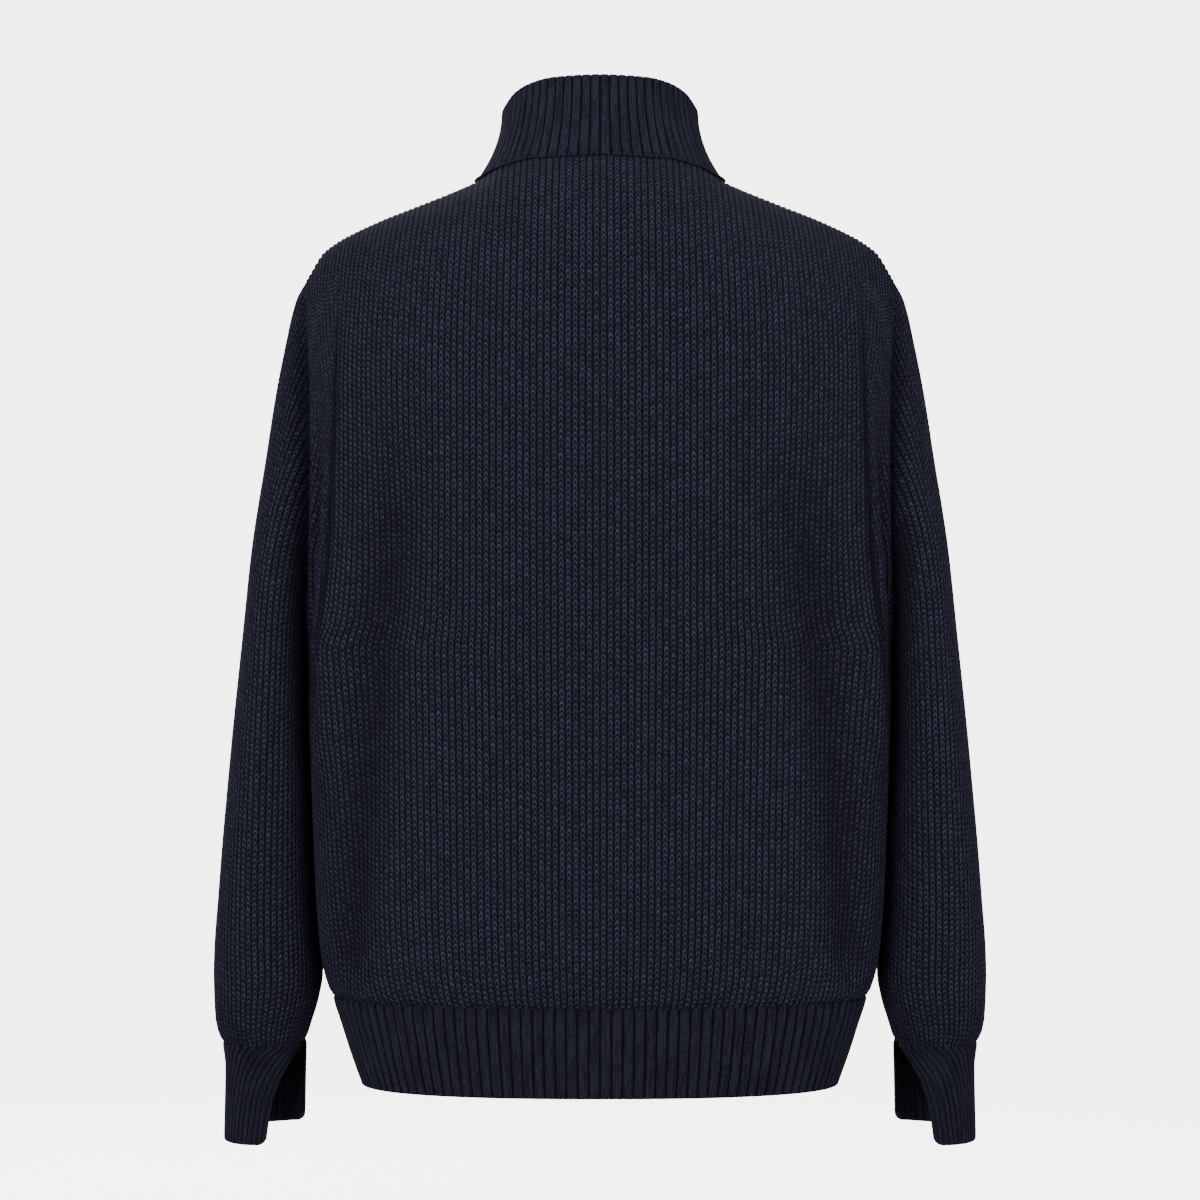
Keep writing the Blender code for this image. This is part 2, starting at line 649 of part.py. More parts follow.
def tab_object(look):
    """The pull tab: a flat plate with rounded ends, whose top bar runs under the slider's bail."""
    width, thick, length = TAB
    curve = bpy.data.curves.new("zip_pull_tab", "CURVE")
    curve.dimensions = "2D"
    curve.fill_mode = "BOTH"
    curve.extrude = thick / 2 * MM
    half = width / 2
    end = half - 0.4
    rounded = [(half * math.cos(a), end * math.sin(a) - length + end) for a in np.radians(range(0, -181, -20))]
    outer = [(-half, 0.7), (half, 0.7)] + rounded
    hole = [(-1.3, -0.7), (1.3, -0.7), (1.3, -5.6), (-1.3, -5.6)]
    for points in (outer, hole):
        spline = curve.splines.new("POLY")
        spline.points.add(len(points) - 1)
        for point, (x, z) in zip(spline.points, points):
            point.co = (x * MM, z * MM, 0.0, 1.0)
        spline.use_cyclic_u = True
    made = bpy.data.objects.new("tab_outline", curve)
    bpy.context.scene.collection.objects.link(made)
    mesh = bpy.data.meshes.new_from_object(made.evaluated_get(bpy.context.evaluated_depsgraph_get()))
    bpy.data.objects.remove(made)
    bm = bmesh.new()
    bm.from_mesh(mesh)
    bmesh.ops.remove_doubles(bm, verts=bm.verts, dist=1e-6)
    bmesh.ops.rotate(bm, verts=bm.verts, cent=(0, 0, 0), matrix=Matrix.Rotation(math.pi / 2, 3, "X"))
    bm.to_mesh(mesh)
    bm.free()
    mesh.materials.clear()
    mesh.materials.append(look)
    return bpy.data.objects.new("zip_pull_tab", mesh)


def cut(target, cutter, operation="DIFFERENCE"):
    made = target.modifiers.new(operation.lower(), "BOOLEAN")
    made.operation = operation
    made.object = cutter
    cutter.hide_render = True
    cutter.display_type = "WIRE"


def main():
    for old in list(bpy.data.objects):
        bpy.data.objects.remove(old)
    parts = bpy.data.collections.new("Knit bomber jacket")
    guides = bpy.data.collections.new("Cutters")
    bpy.context.scene.collection.children.link(parts)
    bpy.context.scene.collection.children.link(guides)

    knit = material("navy_knit", (0.010, 0.016, 0.040), 0.92)
    rib = material("navy_rib", (0.009, 0.014, 0.036), 0.90)
    tape = material("navy_tape", (0.008, 0.010, 0.022), 0.75)
    metal = material("dark_metal", (0.16, 0.16, 0.17), 0.38, 1.0)

    def add(made):
        parts.objects.link(made)
        return made

    # body: columns are closer at the flanks, where the folds are
    levels, share = panel_levels()
    u = panel_columns(0.0, 11)
    full = np.concatenate([-u[:0:-1], u])
    add(sheet_object("back", panel(1.0, full, levels, share, 0.0, FOLDS_BACK), CLOTH, knit.copy()))
    u = panel_columns(ZIP_EDGE, 9)
    front = panel(-1.0, u, levels, share, ZIP_EDGE, FOLDS_FRONT)
    add(sheet_object("front_left", front, CLOTH, knit.copy()))
    add(sheet_object("front_right", mirror_grid(front), CLOTH, knit.copy()))

    # sleeves
    q = np.linspace(0, 1, 21)
    t = np.concatenate([np.linspace(0, 0.36, 8), np.linspace(0.36, 1, 11)[1:]])
    arm = sleeve_grid(q, t)
    add(sheet_object("sleeve_left", arm, CLOTH, knit.copy(), closed=True))
    add(sheet_object("sleeve_right", mirror_grid(arm), CLOTH, knit.copy(), closed=True))

    # ribbed pieces, placed on their plain inner face
    share = np.linspace(0, 1, 2 * COLLAR_RIBS + 1)
    collar = moved(collar_grid(share, COLLAR_ROWS), -COLLAR_WALL)
    weights = rib_weights(collar.shape[1], COLLAR_WALL, RIB_RISE)
    add(sheet_object("collar", collar, COLLAR_WALL, rib.copy(), RIB_RISE, weights))
    share = np.linspace(0, 1, 2 * HEM_RIBS + 1)
    hem = moved(hem_grid(share, HEM_ROWS), -RIB_WALL)
    weights = rib_weights(hem.shape[1], RIB_WALL, RIB_RISE)
    add(sheet_object("hem_band", hem, RIB_WALL, rib.copy(), RIB_RISE, weights))
    cuff = moved(cuff_grid(np.linspace(0, 1, 2 * CUFF_RIBS + 1), CUFF_ROWS), -RIB_WALL)
    weights = rib_weights(cuff.shape[1], RIB_WALL, RIB_RISE)
    add(sheet_object("cuff_left", cuff, RIB_WALL, rib.copy(), RIB_RISE, weights))
    add(sheet_object("cuff_right", mirror_grid(cuff), RIB_WALL, rib.copy(), RIB_RISE, weights))

    # zip: tapes behind the edges, the closed chain between them, box, slider, stops and pull tab
    for side, name in ((1, "zip_tape_left"), (-1, "zip_tape_right")):
        x_values = (side * TAPE_INNER, side * TAPE_OUTER)
        add(sheet_object(name, zip_grid(x_values, TAPE_BACK, 0.0, 0.997), TAPE_WALL, tape.copy()))
    middle = TAPE_BACK + (TAPE_WALL - CHAIN_WALL) / 2
    chain = zip_grid((-CHAIN_HALF, CHAIN_HALF), middle, 0.0155, 0.9712)
    add(sheet_object("zip_chain", chain, CHAIN_WALL, metal.copy()))
    add(block_object("zip_box", (2 * CHAIN_HALF, 3.0, 7.0), (0, 0, 0), metal.copy(), zip_frame(0.0085), 0.4))

    seat = zip_frame(SLIDER_AT)
    face = TAPE_WALL / 2 + 0.3
    width, plate, height = SLIDER
    slider = add(block_object("zip_slider", SLIDER, (0, -face - plate / 2, 0), metal.copy(), seat))
    pieces = (
        ("slider_back", (width, plate, height), (0, face + plate / 2, 0), "UNION"),
        ("slider_neck", (2 * CHAIN_HALF, 2 * face + 0.4, height - 0.6), (0, 0, 0), "UNION"),
        ("slider_bail", (1.6, 3.9, 8.0), (0, -face - plate - 1.65, 0), "UNION"),
        ("bail_slot", (3.0, 2.25, 4.4), (0, -face - plate - 1.275, 0), "DIFFERENCE"),
    )
    for name, size, centre, operation in pieces:
        cutter = block_object(name, size, centre, metal, seat)
        guides.objects.link(cutter)
        cut(slider, cutter, operation)
    for side, name in ((1, "zip_stop_left"), (-1, "zip_stop_right")):
        size = (1.8, 1.0, 3.0)
        centre = (side * (TAPE_INNER + 0.9), -face - 0.5, height / 2 + 2.2)
        add(block_object(name, size, centre, metal.copy(), seat, 0.2))

    hinge = seat @ Matrix.Translation((0, (-face - plate - 1.3) * MM, 0))
    tab = add(tab_object(metal.copy()))
    tab.matrix_world = hinge


main()
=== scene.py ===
"""Knit bomber jacket, dressed on its packed frame: knitted panels, ribbed pieces, seams and zip.

The design functions work in millimetres and the meshes are in metres. +Z is up and the jacket
faces -Y, so its back faces +Y and the wearer's left is +X. The frame's own pieces are worked out
from the same sizes and tables, so each finer piece here lies on the one that it stands for.
"""

import math

import bmesh
import bpy
import numpy as np
from bpy.props import FloatProperty, FloatVectorProperty, IntProperty, PointerProperty
from mathutils import Matrix, Vector


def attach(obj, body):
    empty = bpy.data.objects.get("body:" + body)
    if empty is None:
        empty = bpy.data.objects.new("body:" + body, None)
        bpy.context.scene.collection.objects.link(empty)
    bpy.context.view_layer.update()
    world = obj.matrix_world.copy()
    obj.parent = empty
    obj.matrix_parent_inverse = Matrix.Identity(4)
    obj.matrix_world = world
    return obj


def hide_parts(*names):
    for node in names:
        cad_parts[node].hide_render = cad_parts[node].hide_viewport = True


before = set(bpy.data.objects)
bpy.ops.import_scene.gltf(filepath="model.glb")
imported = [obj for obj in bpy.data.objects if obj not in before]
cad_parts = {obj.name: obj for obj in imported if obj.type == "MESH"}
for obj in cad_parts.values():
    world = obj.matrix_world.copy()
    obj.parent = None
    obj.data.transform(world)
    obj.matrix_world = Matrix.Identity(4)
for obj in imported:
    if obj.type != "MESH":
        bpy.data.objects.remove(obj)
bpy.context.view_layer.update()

bl_info = {
    "name": "Knit bomber jacket",
    "version": (1, 0, 0),
    "blender": (4, 5, 0),
    "location": "View3D > Sidebar > Jacket",
    "description": "Knits the panels, ribs, seams and zip of a bomber jacket on its frame",
    "category": "Object",
}

MM = 0.001

# ---------------------------------------------------------------- sizes of the frame, mm
CLOTH = 2.4
HEM_Z = -586.0
YOKE_Z = -150.0
ZIP_EDGE = 7.0
NECK_HALF = 88.6
NECK_Y = -12.0
NECK_BACK = 92.0
NECK_FRONT = 76.0
TIP_X = 212.0
TIP_Y = -5.0
TIP_Z = -72.0
ARM_Z = -201.0
ARM_H = 129.0
ARM_BACK = 32.0
ARM_FRONT = 44.0
ARM_ROUND = 2.5
ARM_STEPS = 48
FRAME_ARM_STEPS = 10
RIB_WALL = 3.0
RIB_RISE = 0.9
COLLAR_WALL = 3.4
HEM_RIBS = 62            # on each half
COLLAR_RIBS = 36
CUFF_RIBS = 32
CUFF_Z = -621.0
TAPE_BACK = 0.35
TAPE_WALL = 0.8
TAPE_INNER = 2.9
TAPE_OUTER = 15.5
NECK_SPREAD = -0.5
SEAM = -0.5              # the pieces' thin rounded edges run this far past a seam line
RIDGE_GAP = -0.2
FRONT_ROWS = (-573.0, -555.0, -525.0, -485.0, -445.0, -405.0, -366.0)
FRONT_YOKE_ROWS = (0.16, 0.5, 0.82, 0.97)    # shares of the way over the yoke
HEM_GAP = 0.4            # the body's and the band's rows stop this far from the hem seam,
COLLAR_LIFT = 0.5        # and the collar's foot this far above the neck seam

# ---------------------------------------------------------------- sizes of the finer pieces, mm
ROW_PITCH = 8.0          # between the rows of a body panel
EDGE_ROWS = (0.0, 0.35, 1.1, 2.6)    # rows that round a body panel's edge, by distance from it
FIRST_ROW = 5.5          # height of the first even row above the hem seam
YOKE_SHORT = 150.0       # length of the shortest way over the yoke, of the middling one, on
YOKE_ROWS = 175          # which its rows are spaced, and of the longest
YOKE_LONG = 190.0
SEAM_REACH = 2.6         # how far from a seam the knit turns in towards it
KNIT_DIP = 1.2           # and how deep, in the body, the sleeves and the ribs
SLEEVE_DIP = 1.0
RIB_DIP = 0.8
UV_WALES = 128.0         # wales or ribs, and courses, that a sheet's map can hold
UV_COURSES = 256.0

# Body by level: z, half width, reach of the back, reach of the front, squareness of the section
BODY = (
    (-586.0, 191.5, 112.0, 106.0, 2.40),
    (-578.0, 195.5, 114.5, 109.0, 2.40),
    (-560.0, 200.0, 117.0, 112.5, 2.40),
    (-518.0, 204.0, 118.0, 115.5, 2.40),
    (-460.0, 206.5, 117.0, 117.5, 2.40),
    (-394.0, 209.0, 117.0, 119.0, 2.40),
    (-330.0, 210.5, 120.0, 120.5, 2.38),
    (-273.0, 211.0, 124.5, 122.0, 2.34),
    (-200.0, 210.5, 127.0, 122.0, 2.30),
    (-150.0, 210.2, 127.0, 120.5, 2.30),
)

# Yoke over the shoulder by distance from the centre line: x, level of the ridge and roundness of
# the way up to it for the back, the same for the fronts
YOKE = (
    (0.0, 34.0, 2.80, 0.0, 1.65),
    (45.0, 24.0, 2.65, 4.0, 1.78),
    (70.0, 13.0, 2.40, 4.5, 1.95),
    (88.6, 0.0, 2.20, 0.0, 2.10),
    (121.7, -14.0, 2.15, -14.0, 2.10),
    (167.0, -32.0, 2.10, -32.0, 2.10),
    (198.0, -50.0, 2.10, -50.0, 2.10),
    (212.0, -72.0, 2.10, -72.0, 2.10),
)

YOKE_CROWD = 1.25        # how far the yoke's columns crowd towards the shoulder's tip

# The back's ridge is flat across the centre, so its rows are mirrored there
YOKE_BACK = (
    (-45.0, 26.0, 2.65, 4.0, 1.78),
    (0.0, 33.6, 2.80, 0.0, 1.65),
    (45.0, 26.0, 2.65, 4.0, 1.78),
    (70.0, 14.0, 2.40, 4.5, 1.95),
    *YOKE[3:],
)

# Hem band: z, half width, reach of the back, reach of the front
HEM_EDGE = -649.2
HEM_EASE = 0.10          # keeps the ribs of the middle of the hem upright
HEM_SQUARE = 2.4         # squareness of its sections
HEM = (
    (-647.0, 170.8, 105.0, 98.0),
    (-641.0, 173.0, 106.5, 99.5),
    (-624.0, 179.0, 109.5, 102.5),
    (-604.0, 185.4, 111.5, 104.5),
    (-586.0, 191.5, 112.0, 106.0),
)

# Collar's top edge by the angle round the neck from the centre back: degrees, z
COLLAR_TOP = (
    (0.0, 67.6),
    (30.0, 66.6),
    (45.0, 64.2),
    (60.0, 59.6),
    (74.0, 53.0),
    (90.0, 49.0),
    (110.0, 43.0),
    (130.0, 31.0),
    (150.0, 14.5),
    (168.0, 2.0),
    (180.0, -1.0),
)
COLLAR_TOP_HALF = 70.0
COLLAR_TOP_Y = -4.0
COLLAR_TOP_BACK = 76.0
COLLAR_TOP_FRONT = 74.0
COLLAR_FLARE = 2.1
COLLAR_ROWS = (0.0, 0.3, 0.62, 1.0)
HEM_ROWS = (0.0, 0.45, 1.0)

# Sleeve by level: z, outer x, inner x, middle y, half depth. Its soft inner side leans on the body.
SLEEVE = (
    (-621.0, 274.5, 213.4, -26.0, 43.5),
    (-608.0, 278.6, 209.4, -26.0, 50.0),
    (-590.0, 279.6, 204.0, -25.0, 58.0),
    (-572.0, 280.0, 201.2, -25.0, 62.0),
    (-554.0, 279.4, 202.2, -24.0, 64.0),
    (-518.0, 276.5, 204.8, -22.0, 67.0),
    (-482.0, 273.6, 206.3, -21.0, 69.0),
    (-438.0, 269.4, 207.8, -19.0, 71.0),
    (-394.0, 265.0, 209.4, -17.0, 73.0),
    (-330.0, 258.0, 210.9, -15.0, 73.0),
    (-266.0, 251.0, 211.6, -13.0, 70.0),
    (-200.0, 241.0, 212.0, -11.0, 66.0),
    (-158.0, 234.7, 211.4, -9.0, 62.0),
    (-122.0, 228.0, 210.0, -8.0, 56.0),
    (-86.0, 219.6, 208.0, -6.0, 44.0),
    (-72.0, 212.0, 205.0, -5.0, 34.0),
)

TUBE_SQUARE = 2.15       # squareness of the sections of sleeves and cuffs

# Cuff by level: z, outer x, inner x, middle y, half depth
CUFF = (
    (-692.0, 272.0, 215.5, -26.0, 41.0),
    (-669.0, 271.4, 214.8, -26.0, 41.0),
    (-640.0, 270.9, 214.3, -26.0, 41.0),
    (-621.0, 273.2, 213.8, -26.0, 42.5),
)
CUFF_DROP_BACK = 72.5
CUFF_DROP_FRONT = 65.5
CUFF_CORNER = 7.0
CUFF_HALF = 28.5         # half width of the cuff
CUFF_RISE = 4.5          # rise of the front flap's edge towards the slit

# The rear flap's curved edge, which its ribs follow: share of its length, degrees from the slit
CUFF_SLIT = (
    (0.0, 24.0),
    (0.04, 25.0),
    (0.10, 39.0),
    (0.20, 52.0),
    (0.31, 62.4),
    (0.45, 69.6),
    (0.59, 75.0),
    (0.73, 77.6),
    (0.92, 80.2),
    (1.0, 81.0),
)

# Folds of the back, as soft troughs (depth below zero) and ridges (above it). Each follows a line
# down the panel: s is the distance round the body from the centre back, wearer's left positive.
# name, z_top, s_top, z_mid, s_mid, z_low, s_low, half_width, depth
FOLDS_BACK = (
    ("armpit_trough_left", -112, 221, -240, 231, -385, 250, 12, -6.0),
    ("armpit_ridge_left", -105, 199, -215, 206, -380, 231, 14, 4.0),
    ("armpit_trough_right", -116, -220, -236, -232, -372, -250, 12, -5.5),
    ("armpit_ridge_right", -110, -198, -210, -205, -366, -231, 14, 4.0),
    ("flank_left", -160, 136, -400, 172, -590, 197, 22, -9.0),
    ("flank_lip_left", -215, 183, -330, 205, -440, 224, 16, 4.0),
    ("flank_right", -165, -135, -400, -171, -590, -197, 22, -9.0),
    ("flank_lip_right", -220, -184, -330, -206, -440, -225, 16, 4.0),
)

# The sharp crease behind each armpit, beside which the shoulder's wales run together and then
# splay again: z, distance s, depth, wales that the stitches beside it are shifted by
PINCH = (
    (-430.0, 242.0, 0.0, 0.0),
    (-383.0, 229.0, -3.5, -1.0),
    (-316.0, 212.5, -6.5, -2.0),
    (-274.0, 206.0, -8.5, -2.3),
    (-232.0, 203.0, -10.0, 0.2),
    (-200.0, 201.5, -11.0, 2.5),
    (-168.0, 201.0, -9.5, 4.7),
    (-128.0, 201.0, -4.0, 1.3),
    (-104.0, 201.0, 0.0, 0.0),
)
PINCH_INNER = 4.2        # half width of its steep side, towards the spine
PINCH_OUTER = 17.0       # half width of its shallow side, towards the armhole
PINCH_END = 9.0          # how far before the armhole line it starts to fade
PINCH_FULL = 8.0         # depth from which its painted shade is full
PINCH_TURN = 3.0         # width over which the stitches' shift sets in
PINCH_LINE = 3.6         # half width of its line of painted shade
STRIP_SHARE = 0.28       # share of the wales that the crease hides of the strip beside it
STRIP_WALE = 5.0         # width of a wale there
TUCK = 9.0               # depth of the sleeve's tuck beside the armhole line
TUCK_WIDTH = 5.2
TUCK_START = 0.3         # how late it sets in below the shoulder, how quickly,
TUCK_RISE = 7.0
TUCK_FALL = 9.0          # how quickly it ends at the underarm,
TUCK_FRONT = 0.5         # and its share in front
HEAD_SHARE = 0.36        # share of the sleeve over which the armhole's shape turns into the tube's
HEAD_FADE = 2.4
SLEEVE_CROWD = 0.22      # how far the rows behind and in front crowd towards the armhole
FOLD_HEAD = 130.0        # length over which a soft fold fades in from its top, and out at its foot
FOLD_FOOT = 45.0
FOLD_SIDE = 14.0         # how far before a panel's side and hem the folds fade
FOLD_HEM = 16.0
FOLD_PAINTED_SHADE = 0.42          # share of painted shade on the stitches at the bottom of a soft fold
FOLD_FULL = 9.0          # from this depth
CREASE_PAINTED_SHADE = 0.85        # and of the armpit's crease and the sleeve's tuck
# half width of the painted shade beside the sleeve's tuck and along its inner side
TUCK_PAINTED_SHADE_WIDTH = 9.5
INNER_PAINTED_SHADE = (-225.0, 50.0, -592.0, 30.0)     # top and foot of the painted shade on the sleeve's inner side, where it leans on the body, with fades
# painted shade next to a sheet's seams
SEAM_PAINTED_SHADE = 0.25
SLANT_FLATTENS = 0.8     # how much lower the relief is where the wales are shifted

# Folds of the fronts, on both sides alike: s is the distance round the body from the centre front
FOLDS_FRONT = (
    ("armpit_trough", -118, 206, -240, 216, -390, 246, 13, -10.0),
    ("armpit_ridge", -112, 184, -215, 192, -380, 226, 15, 3.5),
    ("chest", -190, 96, -400, 122, -583, 168, 20, -5.5),
)

# Relief across one wale of the body knit, and across one rib: share of the width, height
LINES = 5.0              # fine lines on each rib
WALE = ((0.0, -1.0), (0.2, -0.38), (0.5, 0.0), (0.8, -0.38))
RIB = ((0.0, -1.0), (0.1, -0.24), (0.26, 0.0), (0.5, -0.05), (0.74, 0.0), (0.9, -0.24))

# Shares of a sheet's length for its rows: those that round its foot, the even ones, and its head
COLLAR_FINE = ((0.0, 0.006, 0.02, 0.045), (0.09, 0.94, 14), (0.972, 0.988, 0.996, 1.0))
HEM_FINE = ((0.0, 0.005, 0.017, 0.04), (0.09, 0.9, 9), (0.96, 0.983, 0.995, 1.0))
CUFF_FINE = ((0.0, 0.006, 0.02, 0.045), (0.1, 0.92, 12), (0.96, 0.983, 0.995, 1.0))
SLEEVE_EDGE = (0.0, 0.0007, 0.002, 0.005)
SLEEVE_NEAR = (0.009, 0.014, 0.02, 0.027, 0.036, 0.047)
SLEEVE_EVEN = (0.06, 0.986, 64)
COLLAR_SCALLOP = 0.8     # how far the ribs wave the collar's top edge
COLLAR_DROP = 1.0        # how far its foot hangs over the neck seam

# Zip teeth: the shares of the zip line between which they sit, the middle and half length of a
# tooth across the zip, and the depth and height of its nose and of its root
TAPE_END = 0.997
TEETH_ENDS = (0.0155, 0.9712)
TOOTH_MIDDLE = 0.95
TOOTH_HALF = 1.55
TOOTH_NOSE = (1.9, 0.72)
TOOTH_ROOT = (2.5, 1.12)
TOOTH_BEVEL = 0.14

# Linking stitches: half length, depth and height, how far out from the seam, how far turned up
BEAD = (1.6, 1.2, 1.2)
BEAD_OUT = 1.3
BEAD_RISE = 0.35


# ---------------------------------------------------------------- interpolation and curves
def smooth(table, column, z):
    """A table's column at z, on a monotone cubic through its rows, for smooth outlines."""
    rows = sorted(table)
    x = np.array([row[0] for row in rows], float)
    y = np.array([row[column] for row in rows], float)
    slope = np.diff(y) / np.diff(x)
    tangent = np.zeros(len(x))
    tangent[0] = slope[0]
    tangent[-1] = slope[-1]
    same = slope[1:] * slope[:-1] > 0
    mean = 2 * slope[1:] * slope[:-1] / np.where(same, slope[1:] + slope[:-1], 1.0)
    tangent[1:-1] = np.where(same, mean, 0.0)
    z = np.clip(np.asarray(z, float), x[0], x[-1])
    k = np.clip(np.searchsorted(x, z) - 1, 0, len(x) - 2)
    h = x[k + 1] - x[k]
    t = (z - x[k]) / h
    return (
        y[k] * (1 + 2 * t) * (1 - t) ** 2
        + tangent[k] * h * t * (1 - t) ** 2
        + y[k + 1] * t * t * (3 - 2 * t)
        + tangent[k + 1] * h * t * t * (t - 1)
    )


def step(t):
    t = np.clip(t, 0.0, 1.0)
    return t * t * (3 - 2 * t)


def along(points, share):
    """Points at shares 0 to 1 of the length of a polyline."""
    lengths = np.linalg.norm(np.diff(points, axis=0), axis=1)
    run = np.concatenate(([0.0], np.cumsum(lengths)))
    run /= run[-1]
    return np.stack([np.interp(share, run, points[:, i]) for i in range(points.shape[1])], axis=-1)


def heading(points, share):
    """The way that a polyline runs at shares 0 to 1 of its length."""
    ahead = along(points, np.clip(share + 0.002, 0, 1))
    return ahead - along(points, np.clip(share - 0.002, 0, 1))


def centres(count):
    """Shares of the middles of equal parts."""
    return (np.arange(count) + 0.5) / count


def column_runs(grid):
    """Each point's distance from the foot of its column, along the cloth."""
    lengths = np.linalg.norm(np.diff(grid, axis=0), axis=2)
    return np.concatenate([np.zeros((1, grid.shape[1])), np.cumsum(lengths, axis=0)])


def unit(vectors):
    return vectors / np.maximum(np.linalg.norm(vectors, axis=-1, keepdims=True), 1e-9)


def quarter(half, reach, square, sign):
    """A quarter of a level section, from the centre line round to the side."""
    t = np.linspace(0, math.pi / 2, 240)
    x = half * np.sin(t) ** (2 / square)
    y = sign * reach * np.cos(t) ** (2 / square)
    return np.stack([x, y], axis=1)


# ---------------------------------------------------------------- body panels
def armhole_levels(steps):
    """Levels of the armhole line's corners, from the shoulder tip down to the underarm."""
    return ARM_Z + ARM_H * np.cos(np.linspace(0, math.pi, steps + 1))


def armhole_y(z, sign):
    """Reach of the armhole line at a level, behind (sign 1) or in front (sign -1)."""
    c = np.clip((np.asarray(z, float) - ARM_Z) / ARM_H, -1, 1)
    reach = ARM_BACK if sign > 0 else ARM_FRONT
    bow = (1 - np.abs(c) ** ARM_ROUND) ** (1 / 2.1)
    return TIP_Y * (1 + c) / 2 + sign * reach * bow


def body_section(z, sign):
    """The level section of a back (sign 1) or front (sign -1), from the centre to its edge."""
    half = smooth(BODY, 1, z)
    reach = smooth(BODY, 2 if sign > 0 else 3, z)
    line = quarter(half, reach, smooth(BODY, 4, z), sign)
    full = np.linalg.norm(np.diff(line, axis=0), axis=1).sum()
    edge = armhole_y(z, sign) if z > ARM_Z - ARM_H else 0.0
    edge = sign * max(0.0, edge * sign)
    keep = line[:, 1] * sign > edge * sign
    if keep.all():
        return line, full, full
    last = int(np.argmin(keep))
    a, b = line[last - 1], line[last]
    t = (a[1] - edge) / (a[1] - b[1])
    line = np.vstack([line[:last], a + (b - a) * t])
    length = np.linalg.norm(np.diff(line, axis=0), axis=1).sum()
    return line, length, full


def level_points(z, sign, s0, u):
    """Points of a level at shares u of the panel's width, with their distance s from the centre."""
    line, length, full = body_section(z, sign)
    s = s0 + (full - s0) * u - (full - length) * u ** 2.2
    x, y = along(line, s / length).T
    return x, y, s


def yoke_columns(a, start, sign, s0, spread):
    """Each column's way from the top of the straight body over the shoulder, fine and trimmed.

    A column rises as a quarter superellipse towards the ridge and stops there, or at the neck."""
    x_top = s0 + (TIP_X - s0) * (1 - (1 - a) ** YOKE_CROWD)
    first = 1 if sign > 0 else 3
    ridge = YOKE_BACK if sign > 0 else YOKE
    z_top = smooth(ridge, first, x_top)
    square = smooth(ridge, first + 1, x_top)
    reach = (NECK_BACK if sign > 0 else NECK_FRONT) + spread
    y_top = NECK_Y + (TIP_Y - NECK_Y) * np.clip((x_top - NECK_HALF) / (TIP_X - NECK_HALF), 0, 1)
    y_top = y_top + sign * RIDGE_GAP
    t = np.linspace(0, 1, 160)[:, None]
    x = start[:, 0] + (x_top - start[:, 0]) * step(t)
    y = y_top + (start[:, 1] - y_top) * np.cos(t * math.pi / 2) ** (2 / square)
    z = start[:, 2] + (z_top - start[:, 2]) * np.sin(t * math.pi / 2) ** (2 / square)
    inside = 1 - (x / (NECK_HALF + spread)) ** 2 - ((y - NECK_Y) / reach) ** 2
    curves = []
    for k in range(len(a)):
        line = np.stack([x[:, k], y[:, k], z[:, k]], axis=1)
        hit = np.nonzero(inside[:, k] > 1e-6)[0]
        if len(hit) and x_top[k] < NECK_HALF + spread:
            last = hit[0]
            part = inside[last - 1, k] / (inside[last - 1, k] - inside[last, k])
            line = np.vstack([line[:last], line[last - 1] + (line[last] - line[last - 1]) * part])
        curves.append(line)
    return curves


def neck_seam(sign, s0):
    """The neck seam from the centre line (x = s0) round to the shoulder seam."""
    x = s0 + (NECK_HALF - s0) * np.sin(np.linspace(0, math.pi / 2, 60))
    a = 1 - (1 - (x - s0) / (TIP_X - s0)) ** (1 / YOKE_CROWD)
    px, py, _ = level_points(YOKE_Z, sign, s0, a)
    start = np.stack([px, py, np.full_like(px, YOKE_Z)], axis=1)
    curves = yoke_columns(a, start, sign, s0, 0.0)
    tops = np.array([curve[-1] for curve in curves])
    tops[-1] = (NECK_HALF, NECK_Y, 0.0)
    return tops


def panel_levels():
    """Levels of a panel's rows up to the yoke, and shares of the way over it for the rest."""
    edge = np.array(EDGE_ROWS)
    low = np.linspace(HEM_Z + FIRST_ROW, YOKE_Z, round((YOKE_Z - HEM_Z) / ROW_PITCH))
    share = np.linspace(0, 1, round(YOKE_ROWS / ROW_PITCH) + 1)[1:-1]
    share = np.concatenate([share, 1 - edge[:0:-1] / YOKE_SHORT, [1.0]])
    return np.concatenate([HEM_Z + SEAM + edge, low]), np.sort(share)


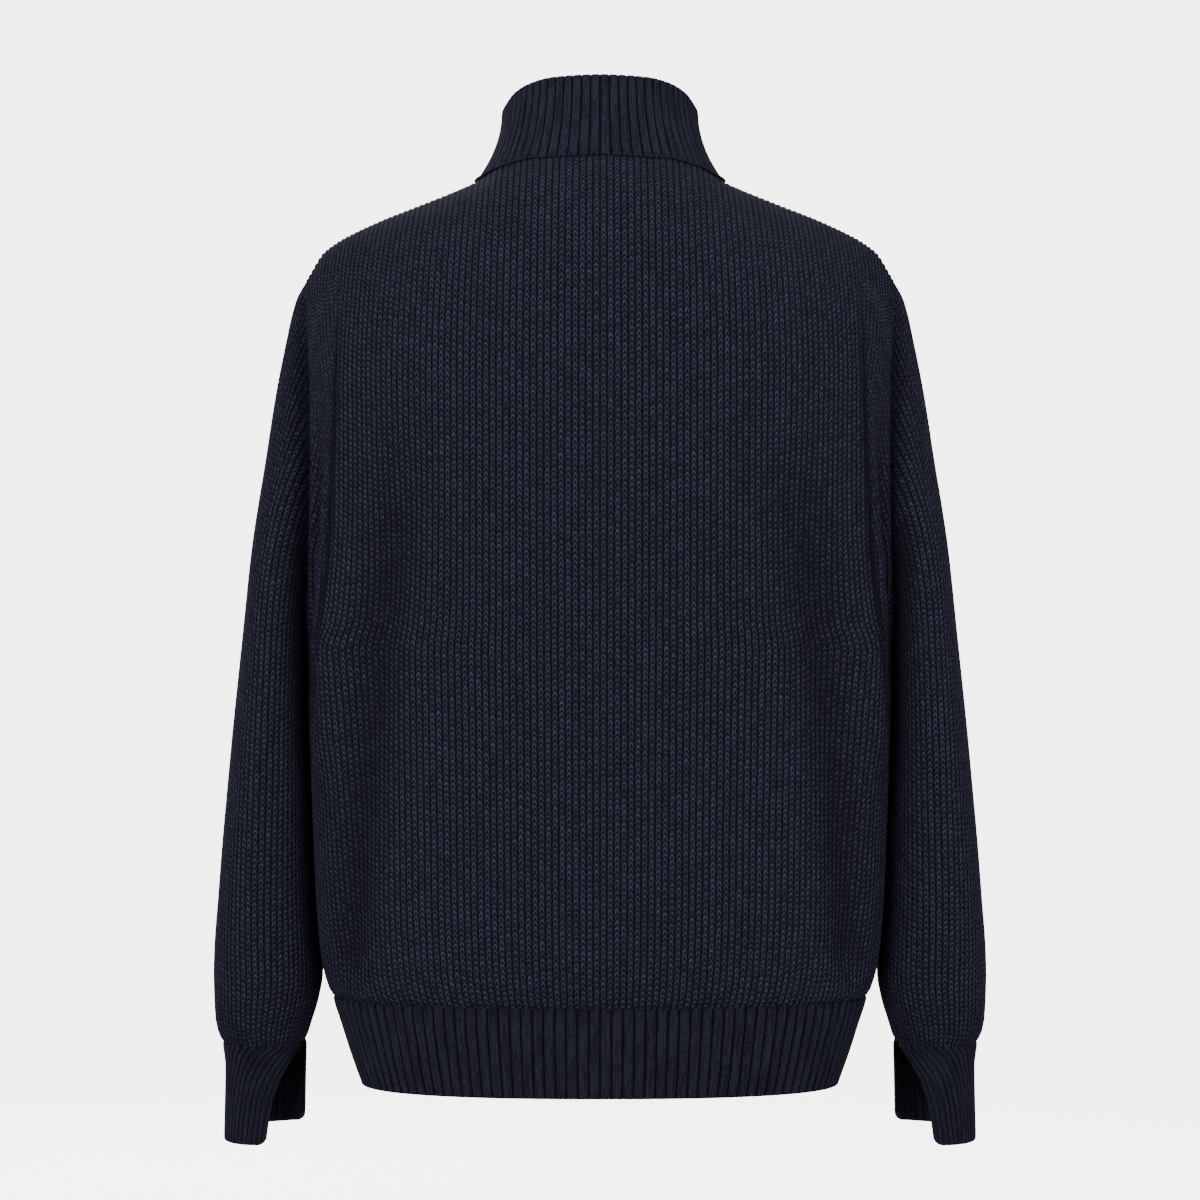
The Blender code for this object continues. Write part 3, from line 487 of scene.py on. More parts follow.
def panel(sign, u, levels, share, s0, folds):
    """A half panel from hem to top, folds included, its stitches' slant in wales and its painted
    shade.

    u may run from -1 to 1, and its sign picks the side."""
    a = np.abs(u)
    side = np.where(u < 0, -1.0, 1.0)
    points = []
    arcs = []
    for z in levels:
        x, y, s = level_points(z, sign, s0, a)
        points.append(np.stack([x, y, np.full_like(x, z)], axis=-1))
        arcs.append(s)
    start = points[-1]
    curves = yoke_columns(a, start, sign, s0, NECK_SPREAD)
    yoke = np.stack([along(curve, share) for curve in curves], axis=1)
    edge_z = YOKE_Z + (TIP_Z - YOKE_Z) * share
    edge_x = start[a.argmax(), 0] + (TIP_X - start[a.argmax(), 0]) * step(share)
    edge_y = sign * np.maximum(0.0, sign * armhole_y(edge_z, sign))
    edge_y[-1] = TIP_Y + sign * RIDGE_GAP
    edge = np.stack([edge_x, edge_y, edge_z], axis=-1)
    yoke += (edge - yoke[:, a.argmax()])[:, None, :] * (a ** 5)[None, :, None]
    yoke_levels = YOKE_Z + YOKE_LONG * share
    grid = np.concatenate([np.array(points), yoke])
    arcs = np.concatenate([np.array(arcs), np.repeat(arcs[-1][None], len(share), axis=0)])
    levels = np.concatenate([levels, yoke_levels])[:, None]
    grid[:, :, 0] *= side
    width = arcs.max(axis=1, keepdims=True)
    edge_fade = step((width - arcs) / FOLD_SIDE) * step((levels - HEM_Z) / FOLD_HEM)
    fold = fold_depth(folds, arcs * side, levels) * edge_fade
    grid = grid + grid_normals(grid) * (fold * outward(grid))[..., None]
    slant = np.zeros_like(arcs)
    # painted shade at the bottom of the soft folds, and below along the armpit's crease
    painted_shade = FOLD_PAINTED_SHADE * np.clip(-fold / FOLD_FULL, 0, 1)
    if sign > 0:
        rise = (TIP_Z - YOKE_Z) / YOKE_LONG
        z = np.where(levels > YOKE_Z, YOKE_Z + (levels - YOKE_Z) * rise, levels)
        crease, slant, line = pinch(arcs, z, width)
        grid[:, :, 1] += crease
        painted_shade = np.maximum(painted_shade, line)
    return grid, slant * side, painted_shade


def pinch(s, z, width):
    """The crease behind the armpit: its depth, the stitches' shift in wales and its painted shade.
    """
    beyond = s - smooth(PINCH, 1, z)
    half = np.where(beyond < 0, PINCH_INNER, PINCH_OUTER)
    deep = smooth(PINCH, 2, z)
    depth = deep * np.exp(-((beyond / half) ** 2)) * step((width - s) / PINCH_END)
    present = np.clip(-deep / PINCH_FULL, 0, 1)
    shift = smooth(PINCH, 3, z) * step((beyond + PINCH_TURN / 2) / PINCH_TURN)
    hidden = STRIP_SHARE * np.maximum(beyond, 0) / STRIP_WALE * present
    # a line of painted shade along the crease
    line = CREASE_PAINTED_SHADE * present * np.exp(-(((beyond + 1.0) / PINCH_LINE) ** 2))
    return depth, shift - hidden, line


def fold_depth(folds, s, z):
    """Sum of the folds at distance s and level z."""
    total = np.zeros(np.broadcast(s, z).shape)
    for _, z_top, s_top, z_mid, s_mid, z_low, s_low, half, depth in folds:
        centre = np.interp(z, (z_low, z_mid, z_top), (s_low, s_mid, s_top))
        ends = step((z - z_low) / FOLD_FOOT) * step((z_top - z) / FOLD_HEAD)
        total += depth * ends * np.exp(-(((s - centre) / half) ** 2))
    return total


def grid_normals(grid):
    return unit(np.cross(np.gradient(grid, axis=1), np.gradient(grid, axis=0)))


def outward(grid):
    """1 where the grid's normals point away from its middle, or else -1."""
    away = grid - grid.reshape(-1, 3).mean(axis=0)
    return 1.0 if (grid_normals(grid) * away).sum() > 0 else -1.0


# ---------------------------------------------------------------- hem band and collar
def both_sides(half_points):
    """A half ring from centre back to front edge, mirrored into one row from edge to edge."""
    mirrored = half_points[::-1] * np.array([-1.0, 1.0, 1.0])
    return np.vstack([mirrored[:-1], half_points])


def hem_ring(z, share, edge_x=ZIP_EDGE):
    """A level half section of the hem band, from the centre back round to the front edge."""
    half = smooth(HEM, 1, z)
    rear = quarter(half, smooth(HEM, 2, z), HEM_SQUARE, 1.0)
    fore = quarter(half, smooth(HEM, 3, z), HEM_SQUARE, -1.0)[::-1]
    line = np.vstack([rear, fore[1:]])
    line = line[(line[:, 0] > edge_x) | (line[:, 1] > 0)]
    return np.concatenate([along(line, share), np.full((len(share), 1), z)], axis=1)


def hem_grid(share, rows):
    top = HEM_Z - SEAM
    levels = [HEM_EDGE + (top - HEM_EDGE) * t for t in rows]
    ease = HEM_EASE * share * (1 - share) ** 3
    return np.array([both_sides(hem_ring(z, share + ease * (1 - t))) for z, t in zip(levels, rows)])


def collar_foot(share, edge_x=ZIP_EDGE):
    line = np.vstack([neck_seam(1.0, 0.0), neck_seam(-1.0, edge_x)[-2::-1]])
    return along(line, share)


def collar_head(share, edge_x=ZIP_EDGE):
    angle = np.linspace(0, math.pi - math.asin(edge_x / COLLAR_TOP_HALF), 400)
    c = np.cos(angle)
    x = COLLAR_TOP_HALF * np.sin(angle)
    y = COLLAR_TOP_Y + np.where(c > 0, COLLAR_TOP_BACK, COLLAR_TOP_FRONT) * c
    line = np.stack([x, y, smooth(COLLAR_TOP, 1, np.degrees(angle))], axis=-1)
    return along(line, share)


def collar_rings(share, rows, edge_x=ZIP_EDGE):
    foot = collar_foot(share, edge_x)
    head = collar_head(share, edge_x)
    flare = COLLAR_FLARE + (1.0 - COLLAR_FLARE) * step((share - 0.72) / 0.28)
    rings = []
    for t in rows:
        spread = (1 - t) ** flare[:, None]
        xy = head[:, :2] + (foot[:, :2] - head[:, :2]) * spread
        rings.append(np.concatenate([xy, foot[:, 2:] + (head[:, 2:] - foot[:, 2:]) * t], axis=1))
    return rings


# ---------------------------------------------------------------- sleeves and cuffs
def armhole_line(sign):
    """The armhole line from the shoulder tip to the underarm, behind or in front."""
    points = []
    base = float(body_section(YOKE_Z, sign)[0][-1, 0])
    for z in armhole_levels(ARM_STEPS):
        if z > YOKE_Z:
            x = base + (TIP_X - base) * float(step((z - YOKE_Z) / (TIP_Z - YOKE_Z)))
        else:
            x = float(body_section(z, sign)[0][-1, 0])
        points.append((x + SEAM, float(armhole_y(z, sign)), z))
    return np.array(points)


def tube_section(table, z, q):
    """Points of a sleeve or cuff section, q from 0 at its outer side, by its back, round to 1."""
    outer = float(smooth(table, 1, z))
    inner = float(smooth(table, 2, z))
    middle = float(smooth(table, 3, z))
    depth = float(smooth(table, 4, z))
    t = np.linspace(0, 2 * math.pi, 721)
    c = np.cos(t)
    s = np.sin(t)
    x = (outer + inner) / 2 + (outer - inner) / 2 * np.sign(c) * np.abs(c) ** (2 / TUBE_SQUARE)
    y = middle + depth * np.sign(s) * np.abs(s) ** (2 / TUBE_SQUARE)
    return along(np.stack([x, y], axis=1), q)


def sleeve_grid(q, t):
    """Rows t run from the armhole line (0) to the cuff seam (1), columns q round the arm."""
    rear = armhole_line(1.0)
    fore = armhole_line(-1.0)
    corner = np.linspace(0, 0.5, len(rear))
    near = np.minimum(q, 1 - q)
    behind = np.stack([np.interp(near, corner, rear[:, i]) for i in range(3)], axis=1)
    before = np.stack([np.interp(near, corner, fore[:, i]) for i in range(3)], axis=1)
    start = np.where((q <= 0.5)[:, None], behind, before)
    levels = np.linspace(CUFF_Z, TIP_Z, 160)
    table = np.array([tube_section(SLEEVE, z, q) for z in levels])

    def ring(z):
        k = np.clip((z - CUFF_Z) / (TIP_Z - CUFF_Z) * 159, 0, 158.999)
        low = k.astype(int)
        part = (k - low)[..., None]
        column = np.broadcast_to(np.arange(len(q)), z.shape)
        return table[low, column] * (1 - part) + table[low + 1, column] * part

    crowd = 1.0 + SLEEVE_CROWD * np.sin(math.pi * q) ** 2
    z = start[:, 2] + (CUFF_Z + SEAM - start[:, 2]) * t[:, None] ** crowd
    offset = start[:, :2] - ring(start[None, :, 2])[0]
    fade = np.clip(1 - t / HEAD_SHARE, 0, 1)[:, None, None] ** HEAD_FADE
    xy = ring(z) + offset * fade
    grid = np.concatenate([xy, z[..., None]], axis=2)
    reach = step(near * TUCK_RISE - TUCK_START) * step((0.5 - near) * TUCK_FALL)
    reach = reach * np.where(q <= 0.5, 1.0, TUCK_FRONT)
    # painted shade on the sleeve's inner side, where it leans on the body, fading in at the top and
    # out at the foot
    beside = np.abs(grid[:, :, 0]) - smooth(SLEEVE, 2, grid[:, :, 2])
    top, top_fade, foot, foot_fade = INNER_PAINTED_SHADE
    low = step((top - grid[:, :, 2]) / top_fade) * step((grid[:, :, 2] - foot) / foot_fade)
    painted_shade = CREASE_PAINTED_SHADE * low * np.exp(-((beside / TUCK_PAINTED_SHADE_WIDTH) ** 2))
    for line, half, inward in ((rear, q <= 0.5, -1.0), (fore, q > 0.5, 1.0)):
        line = along(line, np.linspace(0, 1, 140))
        gap = np.linalg.norm(grid[:, half, None] - line, axis=3).min(axis=2)
        share = reach[half] * gap / TUCK_WIDTH * np.exp(1 - gap / TUCK_WIDTH)
        grid[:, half, 1] += inward * TUCK * share
        # painted shade in the tuck beside the armhole line
        dark = CREASE_PAINTED_SHADE * reach[half] * np.exp(-((gap / TUCK_PAINTED_SHADE_WIDTH) ** 2))
        painted_shade[:, half] = np.maximum(painted_shade[:, half], dark)
    return grid, painted_shade


def quarter_round(distance):
    """Rise of a rounded corner at a distance from its end, as a share of its radius."""
    left = np.clip(1 - distance / CUFF_CORNER, 0, 1)
    return 1 - np.sqrt(1 - left ** 2)


def cuff_grid(q, rows):
    """Columns q run from the slit (0) by the back and the outer side round to the slit (1).

    The rear flap's columns close up towards the outer side on the way down, as its edge does."""
    share = np.array(rows)[:, None]
    edge = smooth(CUFF_SLIT, 1, share)
    degrees = np.where(q < 0.5, edge + (180.0 - edge) * 2 * q, 360.0 * q)
    front_length = CUFF_DROP_FRONT - CUFF_RISE * step((q - 0.72) / 0.25)
    length = np.where(q < 0.5, CUFF_DROP_BACK, front_length)
    from_fold = CUFF_HALF * (1 - np.cos(2 * math.pi * (q - 0.5)))
    from_slit = np.where(q < 0.5, 110.0 * q, CUFF_HALF * (1 - np.cos(2 * math.pi * (1 - q))))
    corner = quarter_round(from_slit) + np.where(q < 0.5, quarter_round(from_fold), 0.0)
    z = CUFF_Z - SEAM - (length - CUFF_CORNER * corner) * share
    around = np.mod(0.5 - degrees / 360.0 * 0.994 - 0.003, 1.0)
    grid = []
    for row, turn in zip(z, around):
        points = [tube_section(CUFF, row[k], turn[k:k + 1])[0] for k in range(len(q))]
        grid.append([(x, y, level) for (x, y), level in zip(points, row)])
    return np.array(grid)


def mirror_grid(grid):
    return grid[:, ::-1] * np.array([-1.0, 1.0, 1.0])


# ---------------------------------------------------------------- zip line
def front_rows():
    """The frame's own rows of a front, which the zip lies behind."""
    corners = armhole_levels(FRAME_ARM_STEPS)
    side = corners[corners < YOKE_Z][::-1]
    yoke = (corners[corners > YOKE_Z][::-1] - YOKE_Z) / (TIP_Z - YOKE_Z)
    levels = np.concatenate([[HEM_Z + HEM_GAP], FRONT_ROWS, side, [YOKE_Z]])
    return levels, np.sort(np.concatenate([FRONT_YOKE_ROWS, yoke]))


def zip_column(x):
    """The garment's face at x by the rows of its pieces, from the hem's edge to the collar's."""
    rows = []
    for t in HEM_ROWS:
        z = HEM[0][0] + (HEM_Z - HEM_GAP - HEM[0][0]) * t
        rows.append((*hem_ring(z, np.array([1.0]), x)[0], RIB_WALL))
    front = panel(-1.0, np.array([0.0, 1.0]), *front_rows(), x, ())[0]
    for point in front[1:-1, 0]:
        rows.append((*point, CLOTH))
    for ring in collar_rings(np.array([1.0]), COLLAR_ROWS, x):
        rows.append((*(ring[0] + np.array([0.0, 0.0, COLLAR_LIFT])), COLLAR_WALL))
    return np.array(rows)


def zip_grid(x_values, depth, low, high, count):
    """Rows up the zip line between shares low and high, set back behind the garment's face."""
    grid = np.stack([zip_column(abs(x)) for x in x_values], axis=1)
    grid[:, :, 0] = x_values
    length = np.linalg.norm(np.diff(grid[:, 0, :3], axis=0), axis=1)
    share = np.concatenate(([0.0], np.cumsum(length) / length.sum()))
    normal = grid_normals(grid[:, :, :3])
    normal *= -np.sign(normal[:, :, 1:2])
    wall = grid[:, :, 3:4]
    wall = np.maximum(wall, np.maximum(np.roll(wall, 1, axis=0), np.roll(wall, -1, axis=0)) - 0.3)
    grid = grid[:, :, :3] - normal * (wall + depth)
    grid[:, :, 0] = x_values
    rows = np.linspace(low, high, count)
    columns = [
        [np.interp(rows, share, grid[:, k, i]) for i in range(3)] for k in range(len(x_values))]
    return np.array(columns).transpose(2, 0, 1)


# ---------------------------------------------------------------- knitted sheets
def repeat_columns(count, profile):
    """Positions of columns over a number of wales or ribs, and the relief's height at each."""
    shares = np.array([row[0] for row in profile])
    heights = np.array([row[1] for row in profile])
    place = (np.arange(count)[:, None] + shares).ravel()
    return np.append(place, count), np.append(np.tile(heights, count), heights[0])


def whole_width(place, height):
    """Columns of a half sheet, mirrored at the centre line."""
    return np.concatenate([-place[:0:-1], place]), np.concatenate([height[:0:-1], height])


def fine_rows(foot, even, head):
    return np.concatenate([foot, np.linspace(*even), head])


def edge_distance(grid, closed):
    """Each point's distance from the nearest free edge of its sheet, along the cloth."""
    def both_ways(axis):
        lengths = np.linalg.norm(np.diff(grid, axis=axis), axis=2)
        pad = [(0, 0), (0, 0)]
        pad[axis] = (1, 0)
        run = np.cumsum(np.pad(lengths, pad), axis=axis)
        return np.minimum(run, run.max(axis=axis, keepdims=True) - run)

    distance = both_ways(0)
    return distance if closed else np.minimum(distance, both_ways(1))


def knitted(name, grid, wall, relief, stitches, look, painted_shade, closed=False, round_to=None):
    """A sheet of knit as one closed wall: a raised outer face, a plain inner one and soft edges.

    grid is the outer face, relief its height at each point, stitches the wale and the course,
    and the shade argument how much painted shade darkens a point in a fold or seam."""
    rows, columns = grid.shape[0] - 1, grid.shape[1] - 1
    facing = outward(grid)
    normal = grid_normals(grid) * facing
    if closed:
        mean = unit(normal[:, 0] + normal[:, -1])
        normal[:, 0] = mean
        normal[:, -1] = mean
    radius = round_to or wall / 2
    near = np.minimum(edge_distance(grid, closed), radius)
    thick = np.clip(2 * np.sqrt(radius ** 2 - (radius - near) ** 2) / (2 * radius), 0.15, 1.0)
    sink = (1 - thick) * wall / 2
    outer = (grid + normal * (relief * thick - sink)[..., None]) * MM
    inner = (grid - normal * (wall - sink)[..., None]) * MM

    bm = bmesh.new()
    bmesh.ops.create_grid(bm, x_segments=columns, y_segments=rows, size=0.5)
    order = bm.verts.layers.int.new("order")
    uv = bm.loops.layers.uv.new("stitches")
    # each point's painted shade is kept as an attribute for the looks
    painted_shade_layer = bm.verts.layers.float.new("painted_shade")
    for v in bm.verts:
        i = round((v.co.x + 0.5) * columns)
        j = round((v.co.y + 0.5) * rows)
        v[order] = j * (columns + 1) + i
        v[painted_shade_layer] = painted_shade[j, i]
    flat = stitches.reshape(-1, 2)
    for face in bm.faces:
        for loop in face.loops:
            loop[uv].uv = flat[loop.vert[order]]
    if facing < 0:
        bmesh.ops.reverse_faces(bm, faces=bm.faces)
    inner = inner.reshape(-1, 3)
    outer = outer.reshape(-1, 3)
    for v in bm.verts:
        v.co = inner[v[order]]
    if closed:
        bmesh.ops.remove_doubles(bm, verts=bm.verts, dist=1e-6)
    kept = bm.faces[:]
    raised = bmesh.ops.extrude_face_region(bm, geom=kept, use_keep_orig=True)["geom"]
    for v in raised:
        if isinstance(v, bmesh.types.BMVert):
            v.co = outer[v[order]]
    bm.verts.layers.int.remove(order)
    return finished(name, bm, look)


def finished(name, bm, look, smooth_faces=True):
    mesh = bpy.data.meshes.new(name)
    bm.to_mesh(mesh)
    bm.free()
    if smooth_faces:
        mesh.shade_smooth()
    mesh.materials.append(look)
    made = bpy.data.objects.new(name, mesh)
    bpy.context.scene.collection.objects.link(made)
    return made


def seam_dip(grid, depth, foot=True, head=True):
    """How far a sheet's rows turn in next to the seams at its foot and head, or, given a shade's
    strength, how much painted shade lies there.
    """
    run = column_runs(grid)
    at_foot = foot * np.exp(-((run / SEAM_REACH) ** 2))
    at_head = head * np.exp(-(((run[-1] - run) / SEAM_REACH) ** 2))
    return depth * (at_foot + at_head)


def courses(grid, course, even=0.5):
    """The course number of each point, up its column; even is the share of the mean column."""
    run = column_runs(grid)
    middle = run.mean(axis=1, keepdims=True)
    return (run + even * (middle - run)) / course


def stitch_map(wales, rows):
    """Wale and course of each point, scaled to fit a UV map."""
    wales = np.broadcast_to(wales, rows.shape)
    return np.stack([wales / UV_WALES, rows / UV_COURSES], axis=-1)


def declare(piece, node):
    """Attaches a cloth piece to the jacket and hides the frame node that it stands for."""
    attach(piece, "jacket")
    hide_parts(node)


# ---------------------------------------------------------------- finishes
class Field:
    """A number that varies over a surface. Expressions on it add Math nodes."""

    def __init__(self, look, socket):
        self.look = look
        self.socket = socket

    def maths(self, operation, *others):
        values = dict(enumerate((self, *others)))
        return self.look.node("ShaderNodeMath", {"operation": operation}, values)

    def __add__(self, other):
        return self.maths("ADD", other)

    def __sub__(self, other):
        return self.maths("SUBTRACT", other)

    def __rsub__(self, other):
        return (self * -1.0) + other

    def __mul__(self, other):
        return self.maths("MULTIPLY", other)

    def __pow__(self, other):
        return self.maths("POWER", other)

    def __abs__(self):
        return self.maths("ABSOLUTE")

    def between(self, low, high):
        """0 below low, 1 above high and soft between them."""
        inputs = {"Value": self, "From Min": low, "From Max": high, "To Min": 0.0, "To Max": 1.0}
        return self.look.node("ShaderNodeMapRange", {"interpolation_type": "SMOOTHSTEP"}, inputs)


class Look:
    """A finish on one Principled shader. Every node comes from the node method."""

    def __init__(self, name, **constants):
        self.material = bpy.data.materials.new(name)
        self.material.use_nodes = True
        self.tree = self.material.node_tree
        self.shader = self.tree.nodes["Principled BSDF"]
        for key, value in constants.items():
            self.shader.inputs[key.replace("_", " ")].default_value = value

    def node(self, kind, settings=None, inputs=None, output=0):
        made = self.tree.nodes.new(kind)
        for key, value in (settings or {}).items():
            setattr(made, key, value)
        for key, value in (inputs or {}).items():
            if isinstance(value, Field):
                self.tree.links.new(value.socket, made.inputs[key])
            else:
                made.inputs[key].default_value = value
        return Field(self, made.outputs[output])

    def feed(self, name, field):
        self.tree.links.new(field.socket, self.shader.inputs[name])

    def place(self):
        """A point's place in the object's own coordinates."""
        return self.node("ShaderNodeTexCoord", None, None, 3)

    def stitches(self):
        """The wale or rib and the course of a point, from its sheet's own map."""
        across, up, _ = self.split(self.node("ShaderNodeUVMap", {"uv_map": "stitches"}))
        return across * UV_WALES, up * UV_COURSES

    def lit(self):
        """The share of its colour that a point keeps under the painted shade of folds and seams."""
        return 1.0 - self.node("ShaderNodeAttribute", {"attribute_name": "painted_shade"}, None, 2)

    def split(self, vector):
        made = self.tree.nodes.new("ShaderNodeSeparateXYZ")
        self.tree.links.new(vector.socket, made.inputs[0])
        return [Field(self, made.outputs[k]) for k in range(3)]

    def joined(self, x, y, z=0.0):
        return self.node("ShaderNodeCombineXYZ", None, {0: x, 1: y, 2: z})

    def noise(self, vector, scale, detail=2.0, rough=0.5):
        inputs = {"Vector": vector, "Scale": scale, "Detail": detail, "Roughness": rough}
        return self.node("ShaderNodeTexNoise", None, inputs)

    def chance(self, vector):
        return self.node("ShaderNodeTexWhiteNoise", {"noise_dimensions": "2D"}, {"Vector": vector})

    def colour(self, base, dark, bright, factor):
        """Runs the surface's colour from a darker to a brighter shade of its base."""
        inputs = {0: factor, 6: shade(base, dark), 7: shade(base, bright)}
        self.feed("Base Color", self.node("ShaderNodeMix", {"data_type": "RGBA"}, inputs, 2))

    def bump(self, height, distance):
        inputs = {"Height": height, "Distance": distance * MM, "Strength": 1.0}
        self.feed("Normal", self.node("ShaderNodeBump", None, inputs))


def shade(colour, factor):
    return (*[min(1.0, c * factor) for c in colour], 1.0)


def matt_yarn(name):
    """A dark matt yarn's shader."""
    return Look(
        name, Roughness=0.95, Sheen_Weight=0.03, Sheen_Roughness=0.4,
        Sheen_Tint=(0.62, 0.66, 0.95, 1.0), Specular_IOR_Level=0.06,
    )


def knit_look(name, colour):
    """Thick matt yarn in columns of inverted-V stitches, with a groove between columns that is
    painted dark as shade.
    """
    look = matt_yarn(name)
    place = look.place()
    wales, rows = look.stitches()
    wale = wales.maths("FLOOR")
    wobble = look.noise(look.joined(wales * 1.1, rows * 1.1), 1.0, 1.0) - 0.5
    side = abs(wales - wale - 0.5 + wobble * 0.24) * 2.0
    drift = look.chance(look.joined(wale, 3.0)) * 0.8
    slow = look.noise(look.joined(wale * 0.37, rows * 0.07), 1.0, 1.0) * 1.3
    phase = rows + (side ** 1.15) * 0.95 + drift + slow + wobble * 0.7
    course = phase.maths("FLOOR")
    p = phase - course
    each = look.chance(look.joined(wale, course))
    fibre = look.noise(place, 1500.0, 3.0, 0.65)
    # a loop's two legs lean together at the top, with a hollow under the point that they make
    strand = (1.0 - abs(p * 2.0 - 1.1)).between(0.42, 0.95)
    column = 1.0 - side.between(0.42, 0.92)
    hollow = (1.0 - side * 1.8).between(0.0, 1.0) * (1.0 - strand)
    height = (strand * 0.66 + 0.34 - hollow * 0.22) * column
    look.bump(height + (each - 0.5) * 0.12 + (fibre - 0.5) * 0.5, 1.3)
    cloudy = look.noise(place, 9.0, 2.0)
    # The colour follows the stitches' height: painted shade in the grooves and hollows and painted
    # highlight on the strands' tops; the changes from stitch to stitch and in the fibre are the
    # yarn's own, and the folds' and seams' painted shade darkens it further
    painted_shade_and_tone = height * (each * 0.5 + 0.75) * (fibre * 2.6 - 0.3) * look.lit()
    look.colour(colour, 0.4, 4.3, (painted_shade_and_tone + (cloudy - 0.5) * 0.06).between(0.0, 1.15))
    return look.material


def rib_look(name, colour):
    """Fine ribs: each has LINES columns of tiny stitches on its top and a groove beside it that is
    painted dark as shade.
    """
    look = matt_yarn(name)
    ribs, rows = look.stitches()
    lines = ribs * LINES
    line = lines.maths("FLOOR")
    side = abs(lines - line - 0.5) * 2.0
    streak = look.noise(look.joined(line * 7.3, rows * 0.05), 1.0, 2.0)
    each = look.chance(look.joined(line, (rows + side * 0.5).maths("FLOOR")))
    fibre = look.noise(look.place(), 1700.0, 3.0, 0.65)
    groove = 1.0 - (0.5 - abs(ribs - ribs.maths("FLOOR") - 0.5)).between(0.01, 0.15)
    height = (1.0 - side ** 1.8) * 0.55 + 0.45 - groove * 0.9
    look.bump(height + (each - 0.5) * 0.2 + (fibre - 0.5) * 0.3, 0.8)
    # The colour follows the ribs' height: painted shade in the grooves and between the lines and
    # painted highlight on their tops; the streaks and the changes from stitch to stitch and in the
    # fibre are the yarn's own, and the seams' painted shade darkens it further
    painted_shade_and_tone = height * (streak * 1.8 + 0.1) * (each * 0.5 + 0.75) * (fibre * 1.2 + 0.4)
    look.colour(colour, 0.35, 3.9, (painted_shade_and_tone * look.lit()).between(0.0, 1.5))
    return look.material


def yarn_look(name, colour):
    """Plain twisted yarn for the linking stitches."""
    look = matt_yarn(name)
    fibre = look.noise(look.place(), 1300.0, 3.0, 0.6)
    look.colour(colour, 0.5, 2.6, fibre.between(0.3, 0.75))
    look.bump(fibre, 0.5)
    return look.material


def tape_look(name, colour):
    """Close woven tape: fine herringbone ridges across its width."""
    look = Look(name, Roughness=0.7, Sheen_Weight=0.15, Specular_IOR_Level=0.3)
    x, _, z = look.split(look.place())
    slope = abs(x * 1000.0)
    weave = ((z * 1000.0 * 1.6 + slope * 1.1) * (2 * math.pi)).maths("SINE") * 0.5 + 0.5
    rib = ((slope * 1.9) * (2 * math.pi)).maths("SINE") * 0.5 + 0.5
    height = weave * 0.6 + rib * 0.4
    look.bump(height, 0.18)
    # the colour follows the weave's height: painted shade in its hollows and painted highlight on
    # its ridges
    look.colour(colour, 0.6, 1.5, height.between(0.0, 1.0))
    return look.material


def metal_look(name, colour, rough):
    """Dark satin metal, brighter where fingers polish it and duller in its hollows."""
    look = Look(name, Metallic=1.0, Roughness=rough)
    place = look.place()
    worn = look.noise(place, 160.0, 3.0)
    look.colour(colour, 0.7, 1.35, worn.between(0.35, 0.7))
    look.feed("Roughness", worn * 0.25 + (rough - 0.1))
    look.bump(look.noise(place, 2200.0, 2.0), 0.04)
    return look.material


# ---------------------------------------------------------------- sizes and colours
def tint(name, description, default):
    """A colour in the panel."""
    return FloatVectorProperty(
        name=name, description=description, subtype="COLOR", size=3, min=0.0, max=1.0,
        default=default)


def number(name, description, low, high, default, kind=FloatProperty, **units):
    """A number in the panel, between low and high."""
    return kind(name=name, description=description, min=low, max=high, default=default, **units)


POWER = {"subtype": "POWER", "unit": "POWER"}
DISTANCE = {"subtype": "DISTANCE", "unit": "LENGTH"}


class KnitSizes(bpy.types.PropertyGroup):
    """Body knit of the back, fronts and sleeves."""

    colour: tint("Yarn colour", "Colour of the body knit's yarn", (0.0107, 0.0108, 0.0200))
    wales: number(
        "Wales on half the back", "Columns of stitches from the centre back to the side",
        20, 60, 56, IntProperty)
    sleeve_wales: number(
        "Wales round the sleeve", "Columns of stitches round the whole sleeve",
        30, 90, 70, IntProperty)
    course: number("Course height (mm)", "Height of one stitch", 2.0, 8.0, 4.0)
    relief: number("Wale relief (mm)", "Depth of the grooves between the wales", 0.0, 2.0, 1.1)


class RibSizes(bpy.types.PropertyGroup):
    """Ribbed collar, hem band and cuffs."""

    colour: tint("Rib colour", "Colour of the ribbed pieces' yarn", (0.0100, 0.0101, 0.0184))
    course: number("Course height (mm)", "Height of one stitch of the ribs", 0.8, 8.0, 1.4)
    relief: number("Rib relief (mm)", "Depth of the grooves between the ribs", 0.0, 3.0, 1.7)


class ZipSizes(bpy.types.PropertyGroup):
    """Zip at the front."""

    tape_colour: tint("Tape colour", "Colour of the woven zip tape", (0.0075, 0.0078, 0.0130))
    metal_colour: tint(
        "Metal colour", "Colour of the teeth, slider and pull tab", (0.30, 0.30, 0.31))
    tooth_pitch: number(
        "Tooth pitch (mm)", "Distance between two teeth of one side", 1.5, 4.0, 2.6)


class StudioSizes(bpy.types.PropertyGroup):
    """Backdrop, lights and camera."""

    backdrop: tint(
        "Backdrop colour", "Colour of the floor and wall behind the jacket", (0.80, 0.80, 0.80))
    glow: number("Backdrop light", "How brightly the backdrop is lit from behind", 0.0, 20.0, 5.6)
    floor_z: number(
        "Floor height", "Height of the floor under the jacket", -3.0, -0.75, -1.1, **DISTANCE)
    key: number(
        "Main light", "Power of the soft light beside the camera", 0.0, 2000.0, 128.0, **POWER)
    fill: number(
        "Fill light", "Power of the soft light on the other side", 0.0, 2000.0, 60.0, **POWER)
    ambient: number("Ambient light", "Strength of the even light from all round", 0.0, 5.0, 0.62)


